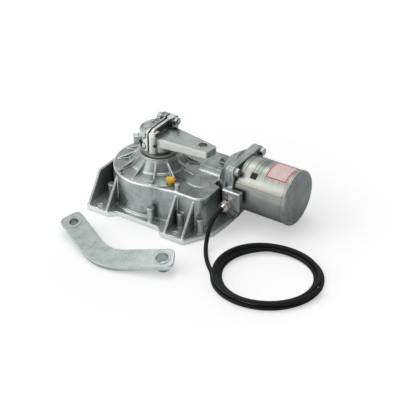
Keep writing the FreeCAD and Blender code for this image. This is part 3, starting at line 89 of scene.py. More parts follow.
def add_camera():
    """Camera on a line from the target, turned to look back along it."""
    level = math.cos(VIEW_ELEVATION)
    back = Vector((math.sin(VIEW_AZIMUTH) * level, -math.cos(VIEW_AZIMUTH) * level,
                   math.sin(VIEW_ELEVATION)))
    data = bpy.data.cameras.new("camera")
    data.sensor_width = SENSOR
    data.lens = LENS
    data.clip_start, data.clip_end = VIEW_CLIP
    camera = bpy.data.objects.new("camera", data)
    camera.location = VIEW_TARGET + back * VIEW_DISTANCE
    aim(camera, -back)
    scene.collection.objects.link(camera)
    scene.camera = camera


def coil_route():
    """Points of the coil, in millimetres, from where the cable comes in to its cut end.

    In plan a point is centre + radius * (cos, sin)(angle), with radius = mean(laid) * (1 + oval *
    cos(2 * (angle - oval angle))) and the angle growing by one turn for each turn laid. Each point
    rests on the floor or on the highest earlier turn under it: z = z_under + sqrt(d^2 - h^2), with h
    the level distance to that turn. The heights are then smoothed once.
    """
    diameter = CABLE_D / MM
    count = int(COIL_TURNS * COIL_POINTS_PER_TURN)
    laid = np.linspace(0, COIL_TURNS, count)
    angles = math.radians(COIL_START_DEG) + 2 * math.pi * laid
    radius = np.interp(laid, COIL_LAID, COIL_RADIUS)
    radius *= 1 + COIL_OVAL * np.cos(2 * (angles - math.radians(COIL_OVAL_DEG)))
    plan = COIL_CENTRE + radius[:, None] * np.stack((np.cos(angles), np.sin(angles)), 1)
    height = np.full(count, diameter / 2)
    clear_of = COIL_POINTS_PER_TURN // 2
    for i in range(clear_of, count):
        last = i - clear_of
        start, step = plan[:last], np.diff(plan[:last + 1], axis=0)
        along = np.clip(((plan[i] - start) * step).sum(1) / (step ** 2).sum(1), 0, 1)
        level = np.linalg.norm(plan[i] - start - along[:, None] * step, axis=1)
        under = height[:last] * (1 - along) + height[1:last + 1] * along
        rest = under + np.sqrt(np.maximum(diameter ** 2 - level ** 2, 0))
        height[i] = max(height[i], np.where(level < diameter, rest, 0).max(initial=0))
    padded = np.pad(height, 1, mode="edge")
    height = np.maximum(diameter / 2, (padded[:-2] + 2 * padded[1:-1] + padded[2:]) / 4)
    return np.column_stack((plan, height))


def add_cable():
    """Cable as one smooth spline through the gland's route and the coil.

    Each point carries the cable's radius, so the bevel itself is one unit deep.
    """
    points = np.vstack((CABLE_ROUTE, coil_route())) * MM
    curve = bpy.data.curves.new("mains_cable_laid", "CURVE")
    curve.dimensions = "3D"
    curve.bevel_depth = 1.0
    curve.bevel_resolution = CABLE_FACETS
    curve.resolution_u = CABLE_STEPS
    curve.use_fill_caps = True
    spline = curve.splines.new("NURBS")
    spline.points.add(len(points) - 1)
    spline.points.foreach_set("co", np.column_stack((points, np.ones(len(points)))).ravel())
    spline.points.foreach_set("radius", np.full(len(points), CABLE_D / 2))
    spline.order_u = 3
    spline.use_endpoint_u = True
    cable = bpy.data.objects.new("mains_cable_laid", curve)
    scene.collection.objects.link(cable)
    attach(cable, "gearbox")
    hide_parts("mains_cable", "cable_coil")
    return cable


# Samples of the edge and crevice nodes
SHADER_SAMPLES = 6
# Cosines of the lean at which an edge starts to shine and shines fully
EDGE_START = 0.995
EDGE_FULL = 0.80
# Open share of the surroundings at which a crevice starts and is full
CREVICE = (0.85, 0.25)
# Ring waves: their spacing is pi / (factor * scale)
WAVE_FACTOR = 10.0
WAVE_WOBBLE = 0.6


def shade(colour, share):
    """Colour made darker or lighter by a share, held below white."""
    return [min(1.0, share * c) for c in colour]


class Nodes:
    """Node tree with short ways to add nodes and join them."""

    def __init__(self, tree, coordinates):
        self.tree = tree
        self.place = self.node("ShaderNodeTexCoord").outputs[coordinates]

    def node(self, kind, **settings):
        made = self.tree.nodes.new(kind)
        for name, value in settings.items():
            setattr(made, name, value)
        return made

    def put(self, socket, value):
        """Joins a node's output to a socket, or sets the socket to a constant."""
        if isinstance(value, bpy.types.NodeSocket):
            self.tree.links.new(value, socket)
        else:
            socket.default_value = value

    def stretched(self, scale, centre=(0, 0, 0), turn=(0, 0, 0)):
        """Object coordinates about a centre, turned, then scaled on each axis."""
        moved = self.node("ShaderNodeMapping", vector_type="TEXTURE")
        self.put(moved.inputs["Vector"], self.place)
        moved.inputs["Location"].default_value = centre
        moved.inputs["Rotation"].default_value = turn
        moved.inputs["Scale"].default_value = [1 / s for s in scale]
        return moved.outputs["Vector"]

    def noise(self, scale, detail=3.0, roughness=0.5, place=None, distortion=0.0):
        """Cloudy noise, about 0.5 in the mean, with its scale per metre of the coordinates."""
        made = self.node("ShaderNodeTexNoise")
        self.put(made.inputs["Vector"], place or self.place)
        made.inputs["Scale"].default_value = scale
        made.inputs["Detail"].default_value = detail
        made.inputs["Roughness"].default_value = roughness
        made.inputs["Distortion"].default_value = distortion
        return made.outputs["Fac"]

    def rings(self, axis, spacing, place):
        """Waves of a given spacing round one axis through the centre of a set of coordinates."""
        made = self.node("ShaderNodeTexWave", wave_type="RINGS", rings_direction=axis)
        self.put(made.inputs["Vector"], place)
        made.inputs["Scale"].default_value = math.pi / (WAVE_FACTOR * spacing)
        made.inputs["Distortion"].default_value = WAVE_WOBBLE
        return made.outputs["Fac"]

    def vectors(self, operation, first, second=None):
        """Vector maths: a number for a dot product or a length, or else a vector."""
        made = self.node("ShaderNodeVectorMath", operation=operation)
        self.put(made.inputs[0], first)
        if second is not None:
            self.put(made.inputs[1], second)
        return made.outputs["Value" if operation in ("DOT_PRODUCT", "LENGTH") else "Vector"]

    def facing(self, direction, low, high):
        """0 to 1 as the coordinates turn towards a direction, between two cosines."""
        cosine = self.vectors("DOT_PRODUCT", self.place, Vector(direction).normalized())
        return self.spread(cosine, low, high, smooth=True)

    def maths(self, operation, first, second=0.0):
        made = self.node("ShaderNodeMath", operation=operation)
        self.put(made.inputs[0], first)
        self.put(made.inputs[1], second)
        return made.outputs[0]

    def plus(self, first, second):
        return self.maths("ADD", first, second)

    def times(self, first, second):
        return self.maths("MULTIPLY", first, second)

    def off(self, value, target):
        """How far a value lies from a target, above or below it."""
        return self.maths("ABSOLUTE", self.maths("SUBTRACT", value, target))

    def spread(self, value, low, high, to_low=0.0, to_high=1.0, smooth=False):
        """Value from low..high carried over to another range, held at its ends."""
        made = self.node("ShaderNodeMapRange", interpolation_type="SMOOTHSTEP" if smooth else "LINEAR")
        for socket, given in zip(made.inputs, (value, low, high, to_low, to_high)):
            self.put(socket, given)
        return made.outputs["Result"]

    def blend(self, share, first, second):
        """First colour turned into the second by a share; a colour is a socket or three numbers."""
        made = self.node("ShaderNodeMix", data_type="RGBA", blend_type="MIX")
        self.put(made.inputs["Factor"], share)
        sockets = [socket for socket in made.inputs if socket.type == "RGBA"]
        for socket, colour in zip(sockets, (first, second)):
            self.put(socket, colour if isinstance(colour, bpy.types.NodeSocket) else (*colour, 1.0))
        return [socket for socket in made.outputs if socket.type == "RGBA"][0]

    def axis(self, place, name):
        made = self.node("ShaderNodeSeparateXYZ")
        self.put(made.inputs[0], place)
        return made.outputs[name]

    def rounded(self, radius, full=EDGE_FULL):
        """Normal as if sharp edges were rounded, and a share for shining edges.

        The share grows from 0 to 1 as the cosine of the lean from the flat face falls to full.
        """
        made = self.node("ShaderNodeBevel", samples=SHADER_SAMPLES)
        made.inputs["Radius"].default_value = radius
        normal = made.outputs["Normal"]
        flat = self.node("ShaderNodeNewGeometry").outputs["Normal"]
        return normal, self.spread(self.vectors("DOT_PRODUCT", normal, flat), EDGE_START, full)

    def hollows(self, distance):
        """How far a point lies in a corner or crevice, 0 to 1."""
        made = self.node("ShaderNodeAmbientOcclusion", samples=SHADER_SAMPLES)
        made.inputs["Distance"].default_value = distance
        return self.spread(made.outputs["AO"], *CREVICE)

    def relief(self, height, depth, normal=None):
        """Normal tilted by a height of 0 to 1 that stands for a depth in metres."""
        made = self.node("ShaderNodeBump")
        made.inputs["Strength"].default_value = 1.0
        made.inputs["Distance"].default_value = depth
        self.put(made.inputs["Height"], height)
        if normal:
            self.put(made.inputs["Normal"], normal)
        return made.outputs["Normal"]


class Finish(Nodes):
    """Node tree of one material."""

    def __init__(self, name, coordinates="Object"):
        self.material = bpy.data.materials.new(name)
        self.material.use_nodes = True
        super().__init__(self.material.node_tree, coordinates)
        self.shader = self.tree.nodes["Principled BSDF"]

    def surface(self, **values):
        """Sets sockets of the shader by name, with underscores for spaces."""
        for name, value in values.items():
            self.put(self.shader.inputs[name.replace("_", " ")], value)


# Casting: painted highlights on edges, painted shade in wide and narrow hollows, a foot painted pale as
# lit by the floor, a painted highlight on the top rim and a ridged pad by the drum with painted
# highlights on its ridges
CAST_ROUND = 3.0 * MM
CAST_HIGHLIGHT_FULL = 0.90
WIDE_HOLLOW = 30 * MM
NARROW_HOLLOW = 6 * MM
CAST_DARK = (0.26, 0.30, 0.29)
CAST_LIGHT = (0.45, 0.50, 0.485)
CAST_EDGE_HIGHLIGHT = (0.93, 0.97, 0.96)
FOOT_Z = (14 * MM, 7 * MM)
FOOT_FLOOR_LIGHT = (0.78, 0.82, 0.81)
RIM_Z = 71.0 * MM
RIM_REACH = (4.0 * MM, 3.0 * MM)
RIM_HIGHLIGHT = (0.97, 1.0, 0.99)
PAD_CENTRE = (94.0 * MM, -22.0 * MM, 73.0 * MM)
PAD_HALF = (22.0 * MM, 13.0 * MM, 3.0 * MM)
PAD_RIDGE_SPACING = 0.16
PAD_RIDGE_HIGHLIGHT = (0.62, 0.66, 0.65)


def cast_skin(f, dark, light, edge):
    """Colour, normal and cloud pattern of raw die-cast alloy.

    Clouds and drawn-out flow marks set the tone and small stains darken it. Painted shade darkens the
    wide hollows a little and the narrow corners nearly to black, and rounded edges get a painted
    highlight.
    """
    normal, edge_highlight = f.rounded(CAST_ROUND, CAST_HIGHLIGHT_FULL)
    clouds = f.noise(22.0, detail=6.0, roughness=0.62, distortion=0.6)
    flow = f.noise(55.0, detail=4.0, roughness=0.6, place=f.stretched((1.0, 1.0, 0.3)))
    stains = f.noise(120.0, detail=5.0, roughness=0.7, distortion=0.4)
    tone = f.plus(f.times(clouds, 0.6), f.times(flow, 0.4))
    colour = f.blend(f.spread(tone, 0.41, 0.59), dark, light)
    colour = f.blend(f.spread(stains, 0.54, 0.72, 0.0, 0.5), colour, shade(dark, 0.5))
    # Painted shade: wide hollows a little darker, narrow corners nearly black
    colour = f.blend(f.times(f.hollows(WIDE_HOLLOW), 0.22), colour, shade(dark, 0.5))
    colour = f.blend(f.times(f.hollows(NARROW_HOLLOW), 0.75), colour, shade(dark, 0.12))
    # Painted highlight on the rounded edges
    colour = f.blend(edge_highlight, colour, edge)
    return colour, normal, clouds


def cast_alloy():
    """Raw die-cast alloy of the gearbox: a foot painted pale as lit by the floor, a painted highlight
    on the top rim and a ridged pad.

    The rim is where the surface slants within RIM_REACH of RIM_Z. The pad's ridges are faint ovals,
    each given a painted highlight.
    """
    f = Finish("cast_alloy")
    colour, normal, clouds = cast_skin(f, CAST_DARK, CAST_LIGHT, CAST_EDGE_HIGHLIGHT)
    height = f.axis(f.place, "Z")
    # Painted light: the foot paler, as lit by the bright floor
    colour = f.blend(f.spread(height, *FOOT_Z, 0.0, 0.85), colour, FOOT_FLOOR_LIGHT)
    # Painted highlight along the top rim, where the surface slants
    upward = f.axis(normal, "Z")
    slanted = f.times(f.spread(upward, 0.97, 0.90), f.spread(upward, 0.12, 0.25))
    rim = f.times(f.spread(f.off(height, RIM_Z), *RIM_REACH), slanted)
    rim = f.times(rim, f.spread(clouds, 0.38, 0.56, 0.35, 1.0))
    colour = f.blend(rim, colour, RIM_HIGHLIGHT)
    pad = f.stretched([1 / half for half in PAD_HALF], PAD_CENTRE)
    on_pad = f.node("ShaderNodeTexGradient", gradient_type="SPHERICAL")
    f.put(on_pad.inputs[0], pad)
    ridges = f.times(f.rings("Z", PAD_RIDGE_SPACING, pad), f.spread(on_pad.outputs["Fac"], 0.02, 0.12))
    # Painted highlight on the pad's ridges
    colour = f.blend(f.times(ridges, 0.5), colour, PAD_RIDGE_HIGHLIGHT)
    fine, coarse = f.noise(1400.0, roughness=0.7), f.noise(260.0, roughness=0.6)
    grain = f.plus(f.times(fine, 0.4), coarse)
    f.surface(Base_Color=colour, Metallic=0.72, Roughness=f.spread(clouds, 0.3, 0.7, 0.24, 0.38),
              Normal=f.relief(f.plus(grain, f.times(ridges, 1.2)), 0.12 * MM, normal))
    return f.material


# Motor: its axis, the end cap's rings and scratches, the can's seam, painted shade on the can below the
# seam and a painted reflection of bands over its top
MOTOR_CENTRE = (0.0, 49.0 * MM, 58.0 * MM)
CAP_DARK = (0.26, 0.285, 0.275)
CAP_LIGHT = (0.44, 0.47, 0.455)
CAP_EDGE_HIGHLIGHT = (0.72, 0.76, 0.74)
CAP_RING_SPACING = 5.5 * MM
CAP_GROOVE = (0.10, 0.115, 0.11)
CAP_SCRATCH = (0.46, 0.49, 0.47)
CAP_SCRATCH_TURN = math.radians(38.0)
CAN_ROUND = 0.6 * MM
CAN_HOLLOW = 8 * MM
CAN_DARK = (0.42, 0.42, 0.375)
CAN_LIGHT = (0.54, 0.535, 0.485)
CAN_CLOUD = (0.36, 0.385, 0.355)
CAN_SHADE_DARK = (0.24, 0.265, 0.25)
CAN_SHADE_LIGHT = (0.40, 0.42, 0.395)
CAN_BAND_REFLECTION = (0.15, 0.20, 0.175)
CAN_BAND_Z = (90 * MM, 101 * MM)
CAN_CREVICE_SHADE = (0.04, 0.045, 0.04)
CAN_EDGE_HIGHLIGHT = (0.86, 0.86, 0.82)
SEAM_Z = 79.5 * MM
SEAM_HALF = (1.0 * MM, 0.4 * MM)
SEAM_SHADE_REACH = 6 * MM
SEAM_DARK = (0.12, 0.13, 0.11)


def cap_alloy():
    """Darker cast end cap: turned rings about the motor axis and scratches under the cast skin."""
    f = Finish("cap_alloy")
    colour, normal, clouds = cast_skin(f, CAP_DARK, CAP_LIGHT, CAP_EDGE_HIGHLIGHT)
    rings = f.rings("X", CAP_RING_SPACING, f.stretched((1.0, 1.0, 1.0), MOTOR_CENTRE))
    drawn = f.stretched((60.0, 34.0, 420.0), MOTOR_CENTRE, (CAP_SCRATCH_TURN, 0, 0))
    scratches = f.noise(1.0, roughness=0.7, place=drawn)
    colour = f.blend(f.spread(scratches, 0.52, 0.72, 0.0, 0.6), colour, CAP_SCRATCH)
    colour = f.blend(f.spread(rings, 0.75, 1.0, 0.0, 0.35), colour, CAP_GROOVE)
    f.surface(Base_Color=colour, Metallic=0.85, Roughness=f.spread(clouds, 0.3, 0.7, 0.34, 0.48),
              Normal=f.relief(f.plus(rings, f.noise(500.0, roughness=0.6)), 0.20 * MM, normal))
    return f.material


def can_steel():
    """Rolled bright steel: fine lines round the can, a painted reflection of dark bands over its top
    and painted shade below.

    A thin dark line along SEAM_Z parts the bright steel from the painted shade below it.
    """
    f = Finish("can_steel")
    normal, edge_highlight = f.rounded(CAN_ROUND)
    lines = f.noise(1.0, detail=4.0, roughness=0.7, place=f.stretched((2600.0, 30.0, 30.0)))
    waves = f.noise(1.0, detail=2.0, place=f.stretched((300.0, 4.0, 4.0)))
    clouds = f.noise(30.0, detail=5.0, roughness=0.6)
    height = f.axis(f.place, "Z")
    colour = f.blend(f.spread(lines, 0.3, 0.7), CAN_DARK, CAN_LIGHT)
    colour = f.blend(f.spread(clouds, 0.48, 0.70, 0.0, 0.5), colour, CAN_CLOUD)
    # Painted shade: the can darker below the seam
    lower_shade = f.blend(clouds, CAN_SHADE_DARK, CAN_SHADE_LIGHT)
    colour = f.blend(f.spread(height, SEAM_Z, SEAM_Z - SEAM_SHADE_REACH), colour, lower_shade)
    colour = f.blend(f.spread(f.off(height, SEAM_Z), *SEAM_HALF, 0.0, 0.8), colour, SEAM_DARK)
    # Painted reflection: dark bands over the can's top
    bands = f.times(f.spread(height, *CAN_BAND_Z), f.spread(waves, 0.40, 0.60, 0.15, 0.85))
    colour = f.blend(bands, colour, CAN_BAND_REFLECTION)
    # Painted shade in the can's crevices
    colour = f.blend(f.times(f.hollows(CAN_HOLLOW), 0.7), colour, CAN_CREVICE_SHADE)
    # Painted highlight on the rounded edges
    colour = f.blend(f.times(edge_highlight, 0.5), colour, CAN_EDGE_HIGHLIGHT)
    dents = f.plus(f.times(lines, 0.06), waves)
    f.surface(Base_Color=colour, Metallic=1.0, Roughness=f.spread(lines, 0.2, 0.8, 0.27, 0.40),
              Normal=f.relief(dents, 0.25 * MM, normal))
    return f.material


# Zinc plate: its tones, painted shade in crevices and painted highlights on edges, then the clamp's
# brushed faces painted pale as lit, a painted highlight on its top, painted shade on its pocket face
# and a grimy jaw
ZINC_ROUND = 1.6 * MM
ZINC_HOLLOW = 14 * MM
ZINC_DARK = (0.36, 0.43, 0.42)
ZINC_LIGHT = (0.52, 0.58, 0.56)
ZINC_SPANGLE = (0.66, 0.71, 0.68)
ZINC_CREVICE_SHADE = (0.02, 0.035, 0.035)
ZINC_EDGE_HIGHLIGHT = (0.88, 0.91, 0.89)
BRUSHED_LIT_DARK = (0.54, 0.57, 0.53)
BRUSHED_LIT_LIGHT = (0.80, 0.82, 0.78)
CLAMP_TOP = (136.5 * MM, 139.5 * MM)
CLAMP_SPLIT_X = (1 * MM, -1 * MM)
CLAMP_TOP_HIGHLIGHT = (0.86, 0.89, 0.86)
CLAMP_POCKET_SHADE = (0.05, 0.075, 0.07)
CLAMP_GRIME = (0.13, 0.14, 0.125)


def clamp_marks(f, colour):
    """Zinc colour of a clamped piece with the marks of milling and use, and with painted light and
    shade.

    Its sides, which face along Y, are brushed, and painted pale as lit. Above CLAMP_TOP it gets a
    painted highlight, with painted shade on the pocket's face towards +X, and it is grimy on the jaw's
    part of the split.
    """
    facing = f.node("ShaderNodeTexCoord").outputs["Normal"]
    brushed = f.noise(1.0, detail=4.0, roughness=0.7, place=f.stretched((60.0, 60.0, 1500.0)))
    # Painted light: faces along Y made pale, over real brushed streaks
    lit_side = f.spread(f.maths("ABSOLUTE", f.axis(facing, "Y")), 0.90, 0.98)
    colour = f.blend(lit_side, colour, f.blend(f.spread(brushed, 0.35, 0.65), BRUSHED_LIT_DARK, BRUSHED_LIT_LIGHT))
    on_top = f.spread(f.axis(f.place, "Z"), *CLAMP_TOP)
    on_jaw = f.spread(f.axis(f.place, "X"), *CLAMP_SPLIT_X)
    # Painted shade on the pocket's face towards +X above CLAMP_TOP
    pocket_shade = f.times(on_top, f.spread(f.axis(facing, "X"), 0.70, 0.90, 0.0, 0.85))
    grime = f.times(on_top, f.spread(f.noise(90.0, detail=4.0, roughness=0.6), 0.40, 0.62, 0.25, 0.9))
    # Painted highlight above CLAMP_TOP
    colour = f.blend(f.times(on_top, 0.75), colour, CLAMP_TOP_HIGHLIGHT)
    colour = f.blend(pocket_shade, colour, CLAMP_POCKET_SHADE)
    return f.blend(f.times(grime, on_jaw), colour, CLAMP_GRIME)


def zinc_plate(name, milled):
    """Zinc-plated steel: pale green-grey, fine spangle, painted shade in crevices and a painted
    highlight on edges.
    """
    f = Finish(name)
    normal, edge_highlight = f.rounded(ZINC_ROUND)
    clouds = f.noise(70.0, detail=7.0, roughness=0.68, distortion=0.4)
    mottle = f.noise(520.0, detail=4.0, roughness=0.65)
    colour = f.blend(f.spread(clouds, 0.30, 0.70), ZINC_DARK, ZINC_LIGHT)
    colour = f.blend(f.spread(mottle, 0.48, 0.72, 0.0, 0.6), colour, ZINC_SPANGLE)
    if milled:
        colour = clamp_marks(f, colour)
    # Painted shade in crevices
    colour = f.blend(f.times(f.hollows(ZINC_HOLLOW), 0.95), colour, ZINC_CREVICE_SHADE)
    # Painted highlight on the rounded edges
    colour = f.blend(f.times(edge_highlight, 0.8), colour, ZINC_EDGE_HIGHLIGHT)
    f.surface(Base_Color=colour, Metallic=1.0,
              Roughness=f.spread(f.plus(clouds, mottle), 0.7, 1.3, 0.24, 0.42),
              Normal=f.relief(f.noise(700.0, roughness=0.6), 0.06 * MM, normal))
    return f.material


# Machined and inner metal: the rounding of turned edges, core sheets and copper wire
TURNED_ROUND = 0.4 * MM
CORE_DARK = (0.10, 0.10, 0.11)
CORE_LIGHT = (0.26, 0.25, 0.24)
COPPER_DARK = (0.22, 0.08, 0.03)
COPPER_LIGHT = (0.60, 0.28, 0.12)


def turned_metal(name, dark, light, roughness):
    """Machined metal: fine turning marks over faint clouds, with a painted highlight on edges."""
    f = Finish(name)
    normal, edge_highlight = f.rounded(TURNED_ROUND)
    marks = f.noise(1.0, roughness=0.6, place=f.stretched((900.0, 900.0, 2200.0)))
    colour = f.blend(f.spread(f.noise(40.0, detail=4.0), 0.35, 0.65), dark, light)
    # Painted highlight on the rounded edges
    colour = f.blend(f.times(edge_highlight, 0.6), colour, shade(light, 1.4))
    f.surface(Base_Color=colour, Metallic=1.0,
              Roughness=f.spread(marks, 0.2, 0.8, roughness - 0.06, roughness + 0.08),
              Normal=f.relief(marks, 0.02 * MM, normal))
    return f.material


def laminated_core():
    """Stack of dark core sheets: thin bands along the motor axis."""
    f = Finish("laminated_core")
    bands = f.noise(1.0, detail=1.0, place=f.stretched((2000.0, 0.1, 0.1)))
    f.surface(Base_Color=f.blend(f.spread(bands, 0.4, 0.6), CORE_DARK, CORE_LIGHT), Metallic=0.8,
              Roughness=f.spread(bands, 0.3, 0.7, 0.45, 0.6), Normal=f.relief(bands, 0.1 * MM))
    return f.material


def wound_copper():
    """Varnished winding: bundles of wire running round the motor axis."""
    f = Finish("wound_copper")
    wires = f.noise(1.0, detail=2.0, roughness=0.6, place=f.stretched((700.0, 260.0, 260.0)))
    f.surface(Base_Color=f.blend(f.spread(wires, 0.3, 0.7), COPPER_DARK, COPPER_LIGHT), Metallic=0.7,
              Roughness=f.spread(wires, 0.2, 0.8, 0.25, 0.45), Normal=f.relief(wires, 0.5 * MM))
    return f.material


def black_rubber(name, base, scuffed, roughness):
    """Black rubber or moulded plastic: faint grain and paler scuffs."""
    f = Finish(name)
    grain = f.noise(1600.0, detail=2.0, roughness=0.6)
    scuffs = f.noise(75.0, detail=5.0, roughness=0.7)
    f.surface(Base_Color=f.blend(f.spread(scuffs, 0.5, 0.78), base, scuffed),
              Roughness=f.spread(scuffs, 0.3, 0.7, roughness - 0.05, roughness + 0.12),
              Specular_IOR_Level=0.3, Normal=f.relief(grain, 0.04 * MM))
    return f.material


# Lip seal on the output shaft: where its rubber ends and its case begins
SEAL_CASE_R = (20.5 * MM, 21.5 * MM)
SEAL_RUBBER = (0.008, 0.010, 0.009)
SEAL_DARK = (0.72, 0.73, 0.68)
SEAL_LIGHT = (0.88, 0.88, 0.83)


def cased_seal():
    """Lip seal: black rubber lip inside, pale case outside, parted by the distance from the shaft."""
    f = Finish("cased_seal")
    away = f.vectors("LENGTH", f.vectors("MULTIPLY", f.place, (1.0, 1.0, 0.0)))
    case = f.spread(away, *SEAL_CASE_R)
    scuffs = f.noise(120.0, detail=4.0, roughness=0.6)
    f.surface(Base_Color=f.blend(case, SEAL_RUBBER, f.blend(scuffs, SEAL_DARK, SEAL_LIGHT)),
              Metallic=f.times(case, 0.15), Roughness=f.spread(scuffs, 0.3, 0.7, 0.32, 0.48),
              Normal=f.relief(f.noise(900.0), 0.03 * MM))
    return f.material


# Vent plug: the foot and lean of its axis, and where along it the tip's colour begins
PLUG_FOOT = (54.0 * MM, -51.0 * MM, 80.0 * MM)
PLUG_LEAN = math.radians(80.0)
PLUG_TIP = (11.6 * MM, 12.8 * MM)
PLUG_WOBBLE = 2.0 * MM
PLUG_DARK = (0.80, 0.52, 0.01)
PLUG_LIGHT = (0.92, 0.66, 0.02)
PLUG_RED = (0.74, 0.13, 0.02)


def plug_plastic():
    """Yellow plastic that turns orange-red towards the tip, along the plug's leaning axis."""
    f = Finish("plug_plastic")
    along = f.axis(f.stretched((1.0, 1.0, 1.0), PLUG_FOOT, (0.0, PLUG_LEAN, 0.0)), "Z")
    wobble = f.times(f.maths("SUBTRACT", f.noise(220.0), 0.5), PLUG_WOBBLE)
    yellow = f.blend(f.spread(f.noise(160.0), 0.35, 0.65), PLUG_DARK, PLUG_LIGHT)
    f.surface(Base_Color=f.blend(f.spread(f.plus(along, wobble), *PLUG_TIP), yellow, PLUG_RED),
              Roughness=f.spread(f.noise(400.0), 0.3, 0.7, 0.28, 0.40),
              Normal=f.relief(f.noise(900.0), 0.03 * MM))
    return f.material


FINISHES = {
    "cast_alloy": cast_alloy(),
    "zinc_plate": zinc_plate("zinc_plate", False),
    "milled_zinc": zinc_plate("milled_zinc", True),
    "bright_steel": can_steel(),
    "dark_alloy": cap_alloy(),
    "ground_steel": turned_metal("ground_steel", (0.46, 0.46, 0.45), (0.62, 0.62, 0.60), 0.28),
    "core_steel": laminated_core(),
    "copper_wire": wound_copper(),
    "bronze": turned_metal("bronze", (0.42, 0.27, 0.10), (0.60, 0.41, 0.18), 0.34),
    "nickel_plate": turned_metal("nickel_plate", (0.56, 0.50, 0.44), (0.76, 0.70, 0.62), 0.20),
    "black_rubber": black_rubber("black_rubber", (0.004, 0.006, 0.005), (0.010, 0.014, 0.012), 0.52),
    "black_plastic": black_rubber("black_plastic", (0.014, 0.014, 0.014), (0.035, 0.035, 0.035), 0.38),
    "cased_seal": cased_seal(),
    "yellow_plastic": plug_plastic(),
}
# Pieces whose finish differs from the record's material slot
OWN_FINISH = {"output_seal": "cased_seal", "drive_lever": "milled_zinc", "clamp_jaw": "milled_zinc"}


def dress(piece, finish):
    """Gives a piece one of the finishes, most of them named as the record's material slots are."""
    piece.data.materials.clear()
    piece.data.materials.append(FINISHES[finish])


def dress_nodes():
    for entry in frame["record"]["subparts"]:
        name = entry["node"]
        dress(nodes[name], OWN_FINISH.get(name, entry["material_slot"]))


# Blank label on the motor can: millimetres along the can and degrees round it, from +Y over the top
LABEL_X = (202.0, 243.5)
LABEL_DEG = (68.0, 124.5)
LABEL_R = 49.05
LABEL_T = 0.15
LABEL_EDGE = 1.0
LABEL_LINE = 2.0
LABEL_BLUR = 0.1
LABEL_ROWS = 25
LABEL_DARK = (0.74, 0.53, 0.51)
LABEL_LIGHT = (0.84, 0.66, 0.63)
LABEL_RED = (0.56, 0.04, 0.06)


def label_paper(width, height):
    """Pale paper with one plain red line inside its edge.

    It is red where the distance to the edge, in millimetres, lies in a band.
    """
    f = Finish("label_paper", "UV")
    inset = [f.times(f.maths("MINIMUM", along, f.maths("SUBTRACT", 1.0, along)), size)
             for along, size in ((f.axis(f.place, "X"), width), (f.axis(f.place, "Y"), height))]
    off_line = f.off(f.maths("MINIMUM", *inset), LABEL_EDGE + LABEL_LINE / 2)
    line = f.spread(off_line, LABEL_LINE / 2 + LABEL_BLUR, LABEL_LINE / 2 - LABEL_BLUR)
    tint = f.noise(5.0, detail=4.0, roughness=0.6)
    paper = f.blend(f.spread(tint, 0.35, 0.65), LABEL_DARK, LABEL_LIGHT)
    f.surface(Base_Color=f.blend(line, paper, LABEL_RED),
              Roughness=f.spread(tint, 0.3, 0.7, 0.42, 0.55), Normal=f.relief(f.noise(90.0), 0.02 * MM))
    return f.material


def add_label():
    """Thin sheet on the can.

    x = x0 + u * width, (y, z) = centre + radius * (cos, sin)(angle0 + v * span), with u, v in 0 to 1.
    """
    width, span = LABEL_X[1] - LABEL_X[0], LABEL_DEG[1] - LABEL_DEG[0]
    across, along = np.meshgrid(np.linspace(0, 1, 2), np.linspace(0, 1, LABEL_ROWS))
    angle = np.radians(LABEL_DEG[0] + along * span)
    on_can = (LABEL_X[0] + across * width, LABEL_R * np.cos(angle), LABEL_R * np.sin(angle))
    points = np.stack(on_can, -1).reshape(-1, 3) * MM + MOTOR_CENTRE
    corner = 2 * np.arange(LABEL_ROWS - 1)
    faces = np.stack((corner, corner + 1, corner + 3, corner + 2), 1)[:, ::-1]
    mesh = bpy.data.meshes.new("can_label")
    mesh.from_pydata(points.tolist(), [], faces.tolist())
    spots = np.stack((across.ravel(), along.ravel()), 1)[faces.ravel()]
    mesh.uv_layers.new(name="sheet").data.foreach_set("uv", spots.ravel())
    label = bpy.data.objects.new("can_label", mesh)
    scene.collection.objects.link(label)
    thick = label.modifiers.new("paper", "SOLIDIFY")
    thick.thickness = LABEL_T * MM
    thick.offset = 1.0
    mesh.materials.append(label_paper(width, math.radians(span) * LABEL_R))
    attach(label, "gearbox")


# Studio: a pale floor, two lamps, broad soft lights in a dim room and a white backdrop
WHITE = (1.0, 1.0, 1.0, 1.0)
FLOOR_SIZE = 6.0
FLOOR_COLOUR = (0.68, 0.68, 0.69, 1.0)
# How white the floor shows near the object and far from it, and at which distances
FLOOR_GLOW = (0.45, 0.85)
FLOOR_REACH = (0.30, 1.60)
# How white its front part shows in metal, where that part lies and the cosines between which it starts
FLOOR_MIRRORED = 0.68
FLOOR_FRONT = (-0.55, -0.84, 0.0)
FLOOR_FRONT_EDGE = (-0.15, 0.15)
# Each lamp's name, place, size and power
LAMPS = (
    ("top", (-0.22, 0.50, 2.00), 1.2, 9.5),
    ("front", (-0.90, -1.20, 0.90), 1.0, 3.0),
)
LAMP_AIM = Vector((0.09, -0.02, 0.05))
DIM = 0.26
# Where each broad soft light lies, the cosines at which it starts and is full, and its strength
SOFT_LIGHTS = (
    ((-0.46, -0.35, 0.81), 0.76, 0.97, 0.95),
    ((-0.46, 0.70, 0.54), 0.76, 0.98, 0.48),
    ((-0.55, -0.70, 0.45), 0.60, 0.97, 0.25),
)
BACKDROP_TOP = 0.16


def show_through(f):
    """Two shares: 1 for rays from the camera, and 1 for mirrored or passing rays."""
    path = f.node("ShaderNodeLightPath")
    mirrored = f.maths("MAXIMUM", path.outputs["Is Glossy Ray"], path.outputs["Is Transmission Ray"])
    return path.outputs["Is Camera Ray"], mirrored


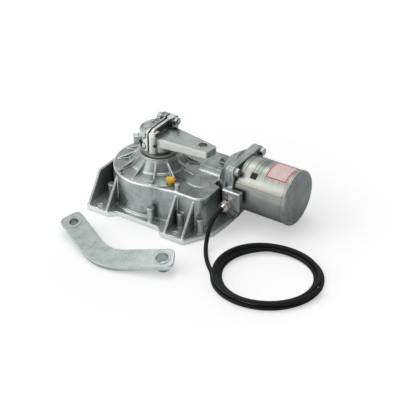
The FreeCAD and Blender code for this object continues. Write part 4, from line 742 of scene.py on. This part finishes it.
def add_floor():
    """Pale floor: matt for the light it bounces, shown white with the object's shadow on it.

    In metal its front part shows white too and its back part darker.
    """
    corner = FLOOR_SIZE / 2
    mesh = bpy.data.meshes.new("floor")
    corners = [(-corner, -corner, 0), (corner, -corner, 0), (corner, corner, 0), (-corner, corner, 0)]
    mesh.from_pydata(corners, [], [(0, 1, 2, 3)])
    floor = bpy.data.objects.new("floor", mesh)
    scene.collection.objects.link(floor)
    f = Finish("floor_paper")
    seen, mirrored = show_through(f)
    in_front = f.facing(FLOOR_FRONT, *FLOOR_FRONT_EDGE)
    shown = f.spread(f.vectors("LENGTH", f.place), *FLOOR_REACH, *FLOOR_GLOW)
    glow = f.plus(f.times(seen, shown), f.times(f.times(mirrored, in_front), FLOOR_MIRRORED))
    f.surface(Base_Color=FLOOR_COLOUR, Roughness=0.9, Specular_IOR_Level=0.0, Emission_Color=WHITE,
              Emission_Strength=glow)
    mesh.materials.append(f.material)


def add_lamps():
    for name, place, size, power in LAMPS:
        data = bpy.data.lights.new(name, "AREA")
        data.shape = "DISK"
        data.size = size
        data.energy = power
        lamp = bpy.data.objects.new(name, data)
        lamp.location = place
        aim(lamp, LAMP_AIM - Vector(place))
        scene.collection.objects.link(lamp)


def add_surrounding():
    """World: a dim room with broad soft lights, white to the camera and, low down, white in metal."""
    world = bpy.data.worlds.new("studio")
    scene.world = world
    world.use_nodes = True
    f = Nodes(world.node_tree, "Generated")
    light = DIM
    for direction, low, high, strength in SOFT_LIGHTS:
        light = f.plus(light, f.times(f.facing(direction, low, high), strength))
    seen, mirrored = show_through(f)
    low_down = f.spread(f.axis(f.place, "Z"), BACKDROP_TOP, BACKDROP_TOP / 2, smooth=True)
    white = f.maths("MAXIMUM", seen, f.times(mirrored, low_down))
    whiter = f.times(white, f.maths("SUBTRACT", 1.0, light))
    background = f.tree.nodes["Background"]
    f.put(background.inputs["Strength"], f.plus(light, whiter))
    background.inputs["Color"].default_value = WHITE


add_camera()
cable = add_cable()
dress_nodes()
dress(cable, "black_rubber")
add_label()
add_floor()
add_lamps()
add_surrounding()
scene.view_settings.view_transform = "Standard"
